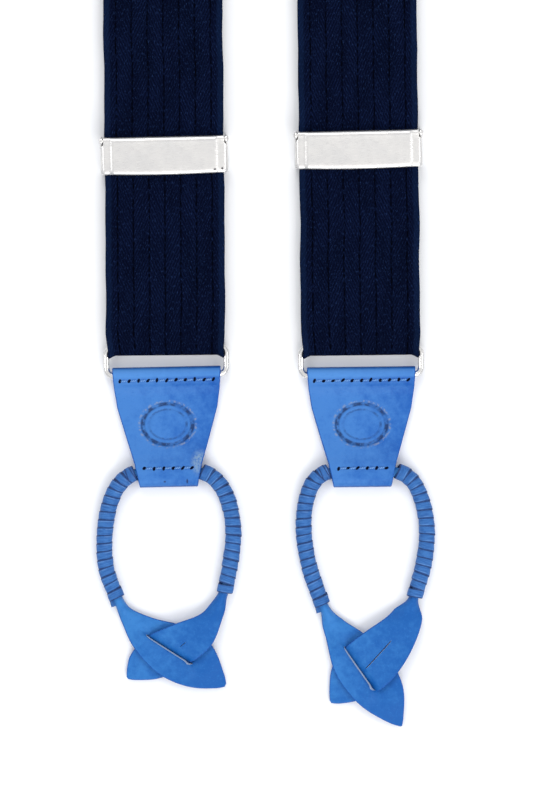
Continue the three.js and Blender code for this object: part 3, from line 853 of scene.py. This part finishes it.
def ring(name, where):
    w, h = RING_HALF_WIDTH - RING_CORNER, RING_HALF_HEIGHT - RING_CORNER
    points = []
    for quarter, (x, y) in enumerate([(w, h), (-w, h), (-w, -h), (w, -h)]):
        corner = arc(x, y, RING_CORNER, quarter * 90, quarter * 90 + 90, 8)
        points += [(u, v, RING_Z) for u, v in corner]
    path = evenly(np.array(points + points[:1]), 0.7)[:-1]
    wire = tube(name + "_wire_ring", path, WIRE_RADIUS, WIRE_NICKEL, where, sides=18, is_loop=True)
    return attach(wire, name + "_ring", "nickel", name + "_ring")


def tab_half_width(v):
    """Half the tab's width at a height, from its shoulders down to its narrow end."""
    heights = [TAB_BOTTOM, -29.7, -22, -13.5, -8, -3]
    halves = [8.3, 9.8, 12.1, 14.5, 15.3, 15.7]
    return np.interp(v, heights, halves)


def tab_profile():
    """The tab's middle layer from the side, from its hidden upper end round to its hidden lower end."""
    back = LEATHER_THICK / 2
    front = back + LEATHER_THICK + 0.15
    upper = [(-13, back), (-10, back), (-7, back), (-RING_HALF_HEIGHT - 0.2, back)]
    upper += arc(-RING_HALF_HEIGHT, RING_Z, FOLD_RADIUS, -75, 90, 11)
    crest = CHANNEL_Z + CHANNEL_RADIUS
    face = [(-5.6, STRAP_Z - 0.35), (-7.4, front + 0.9), (-9.6, front + 0.1), (-12, front),
            (-19, front + 0.05), (-23, front + 0.45), (-27, crest - 1.55), (-30.5, crest - 0.45)]
    lower = arc(CHANNEL_V, CHANNEL_Z, CHANNEL_RADIUS, 100, 255, 11)
    lower += [(CHANNEL_V + 0.5, back), (-30.8, back), (-27, back), (-23, back)]
    return side_view(upper + face + lower)


def tab(name, where, wear_centre=None):
    path = evenly(spline(tab_profile(), 8), 0.42)
    band = strip(path, tab_half_width(path[:, 1])[:, None], LEATHER_THICK, 44, 0.28, -1.0)
    press_face(band)
    draw = np.random.default_rng(len(name))
    holes = [(u, row["v"]) for row in (UPPER_ROW, LOWER_ROW) for u in row_places(row)]
    cutters = [hole_cutter(u, v, where, draw) for u, v in holes]
    face = WORN_TAB_FACE if wear_centre else TAB_FACE
    piece = make_band(name + "_leather_tab", band, [TAB_LEATHER, EDGE_PAINT, SHADED_HOLE_WALL, face], where,
                      kinds=(3, 1, 0))
    boolean(piece, [merge("cutters", cutters)])
    plain_back(piece, where)
    if wear_centre:
        paint_wear(piece, where, wear_centre)
    attach(piece, name + "_tab", "leather", name + "_tab")
    for row, label in ((UPPER_ROW, "upper"), (LOWER_ROW, "lower")):
        seam = seam_row(name + "_" + label + "_seam", row, where)
        attach(seam, name + "_tab", "thread", name + "_tab_" + label + "_stitching")


def plain_back(obj, where):
    """Takes the pressed oval off the layers behind the tab's face."""
    back = where.inverted()
    for polygon in obj.data.polygons:
        if polygon.material_index == 3 and (back @ polygon.center).z < FACE_Z - 0.1:
            polygon.material_index = 0


def face_height(v):
    """Height of the tab's front surface."""
    path = spline(tab_profile(), 8)
    front = path[path[:, 2] > FACE_Z]
    order = np.argsort(front[:, 1])
    return float(np.interp(v, front[order, 1], front[order, 2])) + LEATHER_THICK / 2


def press_face(band):
    """The pressed oval, the stitching grooves, the crease below the upper seam, and slight waves."""
    u, v, z = (band.points[..., k] for k in range(3))
    oval, inner = (np.hypot(u / OVAL[k][0], (v - OVAL["v"]) / OVAL[k][1]) for k in ("outer", "inner"))
    groove = np.exp(-((oval - 1) * 6.5 / 0.55) ** 2) * 0.42 + np.exp(-((inner - 1) * 5 / 0.4) ** 2) * 0.24
    pressed = 0.12 * (1 - smooth(oval, 0.9, 1.1))
    seams = 0
    for row in (UPPER_ROW, LOWER_ROW):
        within = 1 - smooth(np.abs(u), row["half"], row["half"] + 1.2)
        seams = seams + 0.16 * np.exp(-((v - row["v"]) / 0.45) ** 2) * within
    crease = 0.14 * np.exp(-((v + 7.4) / 0.35) ** 2) * smooth(u, -14.5, -12)
    band.raise_by(-(groove + pressed + seams + crease) * band.top * (z > FACE_Z))
    wave = 0.12 * np.sin(u / 9 + v / 7) + 0.08 * np.sin(u / 5 - v / 11 + 1)
    band.raise_by(wave * smooth(-v, 9, 14) * (1 - smooth(-v, 24, 28)) * (z > 1.0))


def row_places(row):
    return np.linspace(-row["half"], row["half"], row["holes"])


def hole_cutter(u, v, where, draw):
    """An awl's hole: tapered, slightly long, and never quite in line with the next."""
    top, slant, stretch = face_height(v), draw.uniform(0.2, 1.4), draw.uniform(1.05, 1.4)
    u, v = u + draw.uniform(-0.1, 0.1), v + draw.uniform(-0.1, 0.1)
    turn = circle(12)
    rings = []
    for depth, taper in ((-0.8, 0.55), (-0.2, 0.9), (0.6, 1.15)):
        radius = HOLE_RADIUS * taper
        long, short = radius * stretch * np.cos(turn), radius / stretch * np.sin(turn)
        x = u + long * math.cos(slant) - short * math.sin(slant)
        y = v + long * math.sin(slant) + short * math.cos(slant)
        rings.append(np.column_stack([x, y, np.full(12, top + depth)]))
    return make("hole", rings, band_faces(3, 12), [SHADED_HOLE_WALL], where, has_ends=12)


def paint_wear(obj, where, spot):
    """Marks the rubbed spot: its middle in u and v, and how far it reaches in each."""
    u, v, reach_u, reach_v = spot
    back = where.inverted()
    wear = []
    for vertex in obj.data.vertices:
        at = back @ vertex.co
        distance = math.hypot((at.x - u) / reach_u, (at.y - v) / reach_v)
        wear.append(float(1 - smooth(distance, 0.35, 1.0)) if at.z > FACE_Z else 0.0)
    obj.data.attributes.new("wear", "FLOAT", "POINT").data.foreach_set("value", wear)


def stitch_rings(start, end, radius, rise, sides=10):
    """One stitch: a soft cord that comes up at start, arches and goes down at end."""
    start, end = np.array(start, float), np.array(end, float)
    along = unit(end - start)
    side = unit(np.cross(along, [0, 0, 1.0]))
    up = np.cross(side, along)
    turn = circle(sides)
    rings = []
    for t in np.linspace(0, 1, 9):
        middle = mix(start, end, t) + up * (rise * math.sin(math.pi * t) - 0.5 * rise)
        reach = radius * (0.35 + 0.65 * math.sin(math.pi * min(1, max(0, 0.06 + 0.88 * t))) ** 0.5)
        rings.append([middle + reach * (side * math.cos(a) + up * math.sin(a)) for a in turn])
    return np.array(rings)


def stitches(name, pairs, where, radius, rise):
    """A row of stitches, each between two holes, as one object of separate solids."""
    points, faces, uv = [], [], []
    for start, end in pairs:
        rings = stitch_rings(start, end, radius, rise)
        count, sides = rings.shape[:2]
        base = len(points)
        points += rings.reshape(-1, 3).tolist()
        uv += [(2 * math.pi * j / sides, 3.0 * i / count) for i in range(count) for j in range(sides)]
        faces += [tuple(base + k for k in face) for face in band_faces(count, sides)]
        faces += [tuple(base + end * sides + k for k in range(sides)) for end in (0, count - 1)]
    return make(name, points, faces, [THREAD], where, uv, sharp=70)


def seam_row(name, row, where):
    places, v, z = row_places(row), row["v"], face_height(row["v"])
    pairs = [((a + 0.42, v - 0.12, z), (b - 0.42, v + 0.12, z)) for a, b in zip(places[:-1], places[1:])]
    return stitches(name, pairs, where, 0.27, 0.22)


# ---- loop ----

def cord_path(loop, channel_x):
    """The cord from the slit blade up one side, through the tab's channel and down the other."""
    def side(points):
        fall = smooth(np.arange(len(points)), 0, 2)
        return [(x, y, mix(CHANNEL_Z, WRAP_RADIUS, f)) for (x, y), f in zip(points, fall)]

    channel = [(channel_x + u, CORE_V, CHANNEL_Z) for u in (-7.6, 0, 7.6)]
    return spline([*side(loop["outer_cord"])[::-1], *channel, *side(loop["inner_cord"])], 24)


def lengthened(path, extra):
    """The path carried straight on past both of its ends."""
    first, last = unit(path[0] - path[1]), unit(path[-1] - path[-2])
    return np.vstack([path[0] + first * extra, path, path[-1] + last * extra])


def blade_lines(loop, low_key, high_key, cut_key, count=64):
    """Matching points on a blade's two edges and on the line between them that holds its slit."""
    low, high = round_tip(*(into_stations(spline(loop[key]), count) for key in (low_key, high_key)))
    centre = (low + high) / 2
    start, end = np.array(loop[cut_key], float)
    ends = [int(np.argmin(np.linalg.norm(centre - p, axis=1))) for p in (start, end)]
    steps = np.arange(count)
    before, after = steps < ends[0], steps > ends[1]
    on_cut = mix(start, end, np.clip((steps - ends[0]) / (ends[1] - ends[0]), 0, 1)[:, None])
    past_end = np.where(after, (steps - ends[1]) / max(1, count - 1 - ends[1]), 0)
    away = np.where(before, (ends[0] - steps) / max(1, ends[0]), past_end)
    shift = np.where(before[:, None], start - centre[ends[0]], end - centre[ends[1]])
    beside = centre + shift * (1 - smooth(away, 0, 0.8))[:, None]
    return low, np.where((before | after)[:, None], beside, on_cut), high, ends


def round_tip(low, high, reach=3):
    """Narrows the last stations so that the blade ends in a small round."""
    centre, half = (low + high) / 2, (high - low) / 2
    share = np.ones(len(low))
    share[-reach:] = np.sqrt(1 - (np.linspace(0, 1, reach + 1)[1:] * 0.88) ** 2)
    return centre - half * share[:, None], centre + half * share[:, None]


def slit_line(slit):
    """A slit's start, its direction and its length."""
    start, end = np.array(slit, float)
    return start, unit(end - start), np.linalg.norm(end - start)


def slit_rise(points, low_side, t, slit):
    """The slit blade's lips: one stands up, the other sinks, and both fade with distance."""
    start, direction, length = slit_line(slit)
    offset = points[..., :2] - start
    run = offset @ direction
    away = np.abs(offset @ np.array([-direction[1], direction[0]]))
    beyond = np.maximum(0, np.maximum(-run, run - length))
    opening = 0.3 + 2.5 * smooth(beyond, 0, 3)
    height = np.where(low_side, LOW_LIP, -HIGH_LIP)
    return height * np.exp(-away / 3.8) * (1 - smooth(beyond, 0, 5)) * np.tanh(away / opening)


def over_rise(points, low_side, t, slit):
    """The over blade rises above the slit blade's upper part and dips through the slit under it."""
    start, direction, _ = slit_line(slit)
    below = (points[..., :2] - start) @ np.array([direction[1], -direction[0]])
    height = 2.3 - 1.4 * np.tanh((below + 0.35) / 1.2)
    return (height - WRAP_RADIUS) * smooth(t, 0.02, 0.26)


def blade(loop, keys, rise, tip_drop=0.0):
    """A blade as a Band, and its slit's two stations. rise gives the heights that its slit needs."""
    low, middle, high, ends = blade_lines(loop, *keys)
    t = np.linspace(0, 1, len(low))
    low, middle, high = (np.column_stack([p, np.full(len(t), WRAP_RADIUS)]) for p in (low, middle, high))
    up = np.broadcast_to([0, 0, 1.0], low.shape)
    band = Band(low, high, up, LEATHER_THICK, 9, middle, 0.26, 1 - smooth(t, 0.02, 0.15), CORE_RADIUS + 0.12)
    t = t[:, None]
    band.raise_by(rise(band.points, band.share < 0, t, loop["slit"]))
    band.raise_by(-0.9 * (1 - smooth(t, 0.1, 0.42)) * band.share ** 2)
    band.raise_by(-tip_drop * smooth(t, 0.78, 1.0))
    return band, ends


def split_band(name, band, ends, where, gap, lip, lift=(0, 0), notch=0.0):
    """Builds a band whose middle column is parted between two stations: a real slit with two lips.

    lip is how far the low side's cut edge leans back, lift raises the low and the high side, and notch
    widens the slit near its far end.
    """
    stations, around = band.points.shape[:2]
    top, bottom = band.columns, 3 * band.columns + 5
    points = list(band.points.reshape(-1, 3))
    copies = {}
    for i in range(ends[0] + 1, ends[1]):
        run = (i - ends[0]) / (ends[1] - ends[0])
        opening = max(0.0, 1 - (2 * run - 1) ** 8) ** 0.5
        opening *= 1 + notch * math.exp(-((run - 0.93) / 0.05) ** 2)
        across = unit(band.points[i, top + 1] - band.points[i, top - 1])
        for j in (top, bottom):
            here = i * around + j
            copies[here] = len(points)
            middle = points[here].copy()
            back = gap + (lip if j == top else 0)
            points.append(middle + across * gap * opening + np.array([0, 0, lift[1] * opening]))
            points[here] = middle - across * back * opening + np.array([0, 0, lift[0] * opening])
    faces, face_looks = [], []
    for index, face in enumerate(band_faces(stations, around)):
        j = index % around
        high_side = top <= j < top + band.columns or bottom - band.columns <= j < bottom
        faces.append(tuple(copies.get(k, k) if high_side else k for k in face))
        face_looks.append(int(band.kind[j] == 1))
    for i in range(ends[0] * around, ends[1] * around, around):
        corner = (i + top, i + around + top, i + around + bottom, i + bottom)
        faces += [corner, tuple(copies.get(k, k) for k in corner[::-1])]
        face_looks += [2, 1]
    faces += [tuple(range(around)), tuple(range((stations - 1) * around, stations * around))]
    face_looks += [1, 1]
    looks = [BLADE_LEATHER, EDGE_PAINT, CUT_EDGE]
    return make(name, points, faces, looks, where, None, face_looks, 45)


def loop_parts(name, loop, where, body, channel_x):
    path = cord_path(loop, channel_x)
    core = tube(name + "_rolled_core", lengthened(path, 0.6), CORE_RADIUS, BLADE_LEATHER, where, 14, 1.2)
    slit_blade = blade(loop, ("slit_low", "slit_high", "slit"), slit_rise, 0.9)
    over_blade = blade(loop, ("over_low", "over_high", "buttonhole"), over_rise)
    lift = (LOW_LIP, -HIGH_LIP)
    slit_piece = split_band(name + "_slit_blade", *slit_blade, where, 0.3, loop["lip"], lift, 0.9)
    over_piece = split_band(name + "_over_blade", *over_blade, where, 0.04, loop["hole_lip"])
    for piece in (core, slit_piece, over_piece):
        attach(piece, body, "leather", name + "_button_loop")
    longer = lengthened(path, END_ROOM)
    far_end = END_ROOM + lengths(path)[-1]
    for label, end, inward, seed in (("outer", END_ROOM, 1, 11), ("inner", far_end, -1, 23)):
        start = path_length_at(longer, loop[label + "_cord"][0]) + inward * 0.6
        lacing(name, label, longer, start, end, inward, where, seed + len(name), body)


def path_length_at(path, point):
    nearest = np.argmin(np.linalg.norm(path[:, :2] - np.array(point), axis=1))
    return lengths(path)[nearest]


def around_path(path, run, angle, rise):
    """A lace's middle line round the cord, with the outward directions and the path's own."""
    middle = resample(path, run)
    ahead = unit(resample(path, run + 0.4) - resample(path, run - 0.4))
    side = unit(np.cross(ahead, [0, 0, 1.0]))
    out, up = side * np.cos(angle)[:, None], np.cross(side, ahead) * np.sin(angle)[:, None]
    radius = np.reshape(CORE_RADIUS + LACE_THICK / 2 + rise, (-1, 1))
    return middle + (out * FLATNESS + up) * radius, unit(out / FLATNESS + up), ahead


def lace_band(centre, radial, across, half, lap):
    """A flat lace, drawn down at its edges where it is pulled round the cord; lap lifts one edge."""
    band = Band(centre - across * half, centre + across * half, radial, LACE_THICK, 4, edge=0.16)
    bend = lap * band.share - 0.05 * band.share ** 2
    band.points = band.points + bend[None, :, None] * radial[:, None]
    return band


def lacing(name, label, path, start, end, inward, where, seed, body):
    """A flat lace wound round the cord: a turn at the tab, a close helix, and a wider tie on the blade.

    inward is the sense of the path's length from the blade to the tab.
    """
    draw = np.random.default_rng(seed)
    first, last = start - inward * LACE_HALF, end + inward * (TIE_HALF + 0.1)
    turns = round(abs(last - first) / LACE_PITCH)
    angle = np.linspace(0, turns * 2 * math.pi, turns * 28 + 1)
    knots, turn = np.arange(turns + 1), angle / (2 * math.pi)
    wander = np.interp(turn, knots, draw.uniform(-0.16, 0.16, turns + 1))
    swell = np.interp(turn, knots, draw.uniform(-0.08, 0.08, turns + 1))
    # The lace steps along mostly underneath, so that the turns lie nearly square on top.
    progress = (angle + 0.55 * (np.cos(angle) - 1)) / (turns * 2 * math.pi)
    centre, radial, _ = around_path(path, mix(first, last, progress) + wander, angle, 0.1 + swell)
    band = lace_band(centre, radial, unit(np.cross(tangents(centre), radial)), LACE_HALF, LACE_LAP)
    tie = end + inward * 0.8
    laces = [lace_mesh(band, where, lengths(centre) + seed * 7, LACE_HALF, 50),
             lace_ring(path, first, LACE_HALF, 0.1, where, seed + 3),
             lace_ring(path, tie, TIE_HALF, 0.16, where, seed + 5)]
    if label == "outer":
        laces.append(lace_tail(path, tie, -inward, where))
    attach(merge(f"{name}_{label}_lacing", laces), body, "lacing", f"{name}_{label}_wrap")


def lace_mesh(band, where, along, half, sharp, is_loop=False):
    return make_band("lace", band, [LACING, LACE_EDGE], where, along, half, is_loop, (0, 1, 0), sharp)


def lace_ring(path, at, half, rise, where, seed):
    """One closed turn of lace."""
    angle = circle(36)
    centre, radial, ahead = around_path(path, at + 0.2 * np.sin(angle + seed), angle, rise)
    band = lace_band(centre, radial, ahead, half, 0.0)
    return lace_mesh(band, where, lengths(centre) + seed * 5, half, 60, is_loop=True)


def lace_tail(path, at, outward, where):
    """The lace's cut end, which sticks out from under the last turn on the loop's outer side."""
    middle, beyond = resample(path, np.array([at, at + outward * 3.0]))
    ahead = unit(beyond - middle)
    side = unit(np.cross(ahead, [0, 0, 1.0]))
    out, reach = np.array([0.55, 0.8, 1.0, 1.1, 1.15])[:, None], np.linspace(-0.6, 3.1, 5)[:, None]
    points = middle + ahead * reach + side * out * CORE_RADIUS + [0, 0, -0.3]
    up, half = np.broadcast_to([0, 0, 1.0], points.shape), 0.95
    band = Band(points - side * half, points + side * half, up, LACE_THICK, 3, edge=0.16)
    return lace_mesh(band, where, lengths(points), half, 50)


def ring_end(name, x, v, lean, turned, loop, wear=None):
    """A ring with the tab and the loop that hang from it."""
    where = place(x, v, lean + turned)
    ring(name, where)
    tab(name, where, wear)
    channel_x = -CORE_V * math.sin(math.radians(lean))
    loop_parts(name, loop, place(x, v, turned), name + "_loop", channel_x)


# ---- back ----

def patch_outline():
    wide, narrow, front, rear = 44, 20.5, -30, 34
    curves = [
        [(0, front + 14), (4, front + 12), (8, front + 1)],
        [(8, front + 1), (wide - 6, front + 5)],
        [(wide - 6, front + 5), (wide, front + 8), (wide - 2, front + 16)],
        [(wide - 2, front + 16), (wide - 2, 0), (narrow, 8), (narrow, rear - 3)],
        [(narrow, rear - 3), (narrow, rear), (narrow - 3, rear)],
        [(narrow - 3, rear), (0, rear)],
    ]
    half = [point for curve in curves for point in bezier(curve)]
    outline = np.array(half + [(-x, y) for x, y in half[::-1]])
    keep = np.concatenate([[True], np.linalg.norm(np.diff(outline, axis=0), axis=1) > 1e-6])
    return evenly(np.vstack([outline[keep], outline[:1]]), 1.2)[:-1]


def bezier(points, steps=16):
    t = np.linspace(0, 1, steps + 1)[:, None]
    level = [np.array(p, float)[None] * np.ones_like(t) for p in points]
    while len(level) > 1:
        level = [mix(a, b, t) for a, b in zip(level[:-1], level[1:])]
    return level[0].tolist()


def strap_cover(u, v):
    """1 where a strap end lies between the patch's two leathers, 0 where there is none."""
    cover = np.zeros_like(u)
    for x, y, lean, half, reach in STRAP_ENTRIES:
        c, s = cos_sin(lean)
        across, along = (u - x) * c + (v - y) * s, (v - y) * c - (u - x) * s
        inner = along if y < 0 else -along
        here = (1 - smooth(np.abs(across), half + 0.5, half + 5)) * (1 - smooth(inner, reach, reach + 6))
        cover = np.maximum(cover, here)
    return cover


def shrunk(outline, share):
    return PATCH_CENTRE + (outline - PATCH_CENTRE) * share


def patch_layer(name, node, low_height, high_height):
    """One leather of the patch: a skin over rings that shrink from its outline to its middle."""
    outline = patch_outline()
    shares = np.concatenate([[1 - 0.006 * k for k in range(3)], np.linspace(0.975, 0.03, 34)])

    def ring_at(share, height):
        flat = shrunk(outline, share)
        return np.column_stack([flat, height(*flat.T)])

    rim, rim_heights = shrunk(outline, 1.005), [height(*outline.T) for height in (low_height, high_height)]
    rings = [ring_at(share, low_height) for share in shares[::-1]]
    rings += [np.column_stack([rim, mix(*rim_heights, share)]) for share in (0.28, 0.72)]
    rings += [ring_at(share, high_height) for share in shares]
    count = len(outline)
    faces = band_faces(len(rings), count)
    edge_rings = range(len(shares) - 1, len(shares) + 2)
    face_looks = [int(i // count in edge_rings) for i in range(len(faces))]
    looks, where = [PATCH_LEATHER, EDGE_PAINT], place(0, PATCH_V)
    piece = make(name, rings, faces, looks, where, None, face_looks, 50, count)
    piece.data.polygons[-1].material_index = piece.data.polygons[-2].material_index = 0
    attach(piece, "suspenders", "patch_leather", node)


def outer_bottom(u, v):
    return 1.12 + 1.55 * strap_cover(u, v)


def outer_top(u, v):
    return outer_bottom(u, v) + LEATHER_THICK + 0.04 * np.cos(u / 6) * np.sin(v / 9)


def back_patch():
    patch_layer("patch_lining_leather", "back_patch_lining", lambda u, v: 0 * u + 0.02,
                lambda u, v: 0 * u + LEATHER_THICK)
    patch_layer("patch_outer_leather", "back_patch_outer", outer_bottom, outer_top)
    for label, (x, y, lean, *_) in zip(("left", "right", "rear"), STRAP_ENTRIES):
        c, s = cos_sin(lean)
        patch_seam(label, [(x + u * c, y + u * s) for u in np.linspace(-14, 14, 12)],
                   "back_patch_" + label + "_stitching")
    outline = patch_outline()
    patch_seam("rim", shrunk(evenly(np.vstack([outline, outline[:1]]), 2.6), 0.925))


def patch_seam(label, places, *nodes):
    seam = stitches("patch_" + label + "_seam", surface_pairs(places), place(0, PATCH_V), 0.3, 0.25)
    attach(seam, "suspenders", "thread", *nodes)


def surface_pairs(places):
    """Stitches between neighbouring places on the patch's top surface."""
    pairs = []
    for a, b in zip(np.array(places)[:-1], np.array(places)[1:]):
        gap = unit(b - a) * 0.35
        pairs.append([(*p, float(outer_top(*p)) + 0.04) for p in (a + gap, b - gap)])
    return pairs


def rear_strap():
    start = REAR_RING_V - PATCH_V - 5
    profile = [(v, PATCH_STRAP_Z) for v in np.arange(start, start - 31, -6.0)]
    profile += [(start - 40, mix(PATCH_STRAP_Z, STRAP_Z, 0.5)), (start - 50, STRAP_Z)]
    profile += [(v, STRAP_Z) for v in np.arange(start - 55, 12, -5.0)]
    profile += [(11, STRAP_Z), (9, STRAP_Z), *turn_profile()[:-1]]
    profile += [(v, TAIL_Z) for v in np.arange(RING_HALF_HEIGHT + 2, RING_HALF_HEIGHT + 27, 3.0)]
    points, where = side_view(profile), place(0, REAR_RING_V, 180)
    band = ripple(strip(points, REAR_HALF, STRAP_THICK, 20, 0.5, -1.0), 5, 0.06)
    strap = webbing_mesh("rear_webbing", band, where, points, REAR_HALF)
    attach(strap, "suspenders", "webbing", "rear_strap")
    row, v, z = np.linspace(-13, 13, 11), 22.2, STRAP_Z + 0.6
    pairs = [((a + 0.3, v, z), (b - 0.3, v, z)) for a, b in zip(row[:-1], row[1:])]
    seam = stitches("rear_fold_seam", pairs, where, 0.28, 0.2)
    attach(seam, "suspenders", "thread", "rear_strap_stitching")
    ring_end("rear", 0, REAR_RING_V, 0, 180, POINTED_LOOP)


# ---- scene ----

def camera():
    data = bpy.data.cameras.new("overhead_camera")
    data.sensor_width = SENSOR
    data.lens = SENSOR * (CAMERA_HEIGHT - STRAP_Z * MM) / VIEW_HEIGHT
    obj = stand("overhead_camera", data)
    obj.location = (*VIEW_CENTRE, CAMERA_HEIGHT)
    bpy.context.scene.camera = obj


def soft_light(name, at, size, power, colour):
    data = bpy.data.lights.new(name, "AREA")
    data.shape, data.size, data.energy, data.color = "DISK", size, power, colour
    obj = stand(name, data)
    obj.location = at
    obj.rotation_mode = "QUATERNION"
    obj.rotation_quaternion = (Vector((*VIEW_CENTRE, 0)) - Vector(at)).to_track_quat("-Z", "Y")


def sky():
    """A pale tent: bright overhead, dimmer and bluer towards the level of the table."""
    world = bpy.data.worlds.new("studio")
    n = Nodes(world)
    direction = n.new("ShaderNodeTexCoord").outputs["Generated"]
    height = n.ramp(n.new("ShaderNodeSeparateXYZ", {0: direction}).outputs[2], 0.1, 0.9)
    background = n.tree.nodes["Background"]
    n.put(background.inputs["Color"], n.colour(height, (0.6, 0.64, 0.7, 1), (0.96, 0.97, 1.0, 1)))
    n.put(background.inputs["Strength"], 0.9)
    bpy.context.scene.world = world


def studio():
    sky()
    soft_light("key", (0.4, -1.6, 1.25), 1.1, 13, (1, 0.99, 0.97))
    soft_light("back_fill", (-0.2, 0.75, 1.2), 0.6, 4.5, (1, 0.99, 0.98))
    soft_light("left_edge", (-1.3, -0.4, 1.2), 0.4, 3, (1, 1, 1))
    soft_light("right_edge", (1.3, -0.4, 1.2), 0.4, 3, (1, 1, 1))
    mesh = bpy.data.meshes.new("table_top")
    corners = [(x * TABLE_HALF, y * TABLE_HALF, 0) for x, y in ((-1, -1), (1, -1), (1, 1), (-1, 1))]
    mesh.from_pydata(corners, [], [(0, 1, 2, 3)])
    mesh.materials.append(floor_look())
    floor = stand("table_top", mesh)
    floor.location.z = -0.0001
    bpy.context.scene.view_settings.view_transform = "Standard"


def build():
    for side in SIDES:
        front_strap(side)
        strap_tail(side)
        adjuster_frame(side)
        adjuster_lever(side)
        adjuster_pin(side)
    ring_end("left", -SIDE_X, 0, SIDES["left"]["tab_lean"], 0, SQUARE_LOOP, wear=(9.3, -29.6, 3.4, 4.6))
    ring_end("right", SIDE_X, 0, SIDES["right"]["tab_lean"], 0, POINTED_LOOP)
    back_patch()
    rear_strap()


camera()
studio()
build()
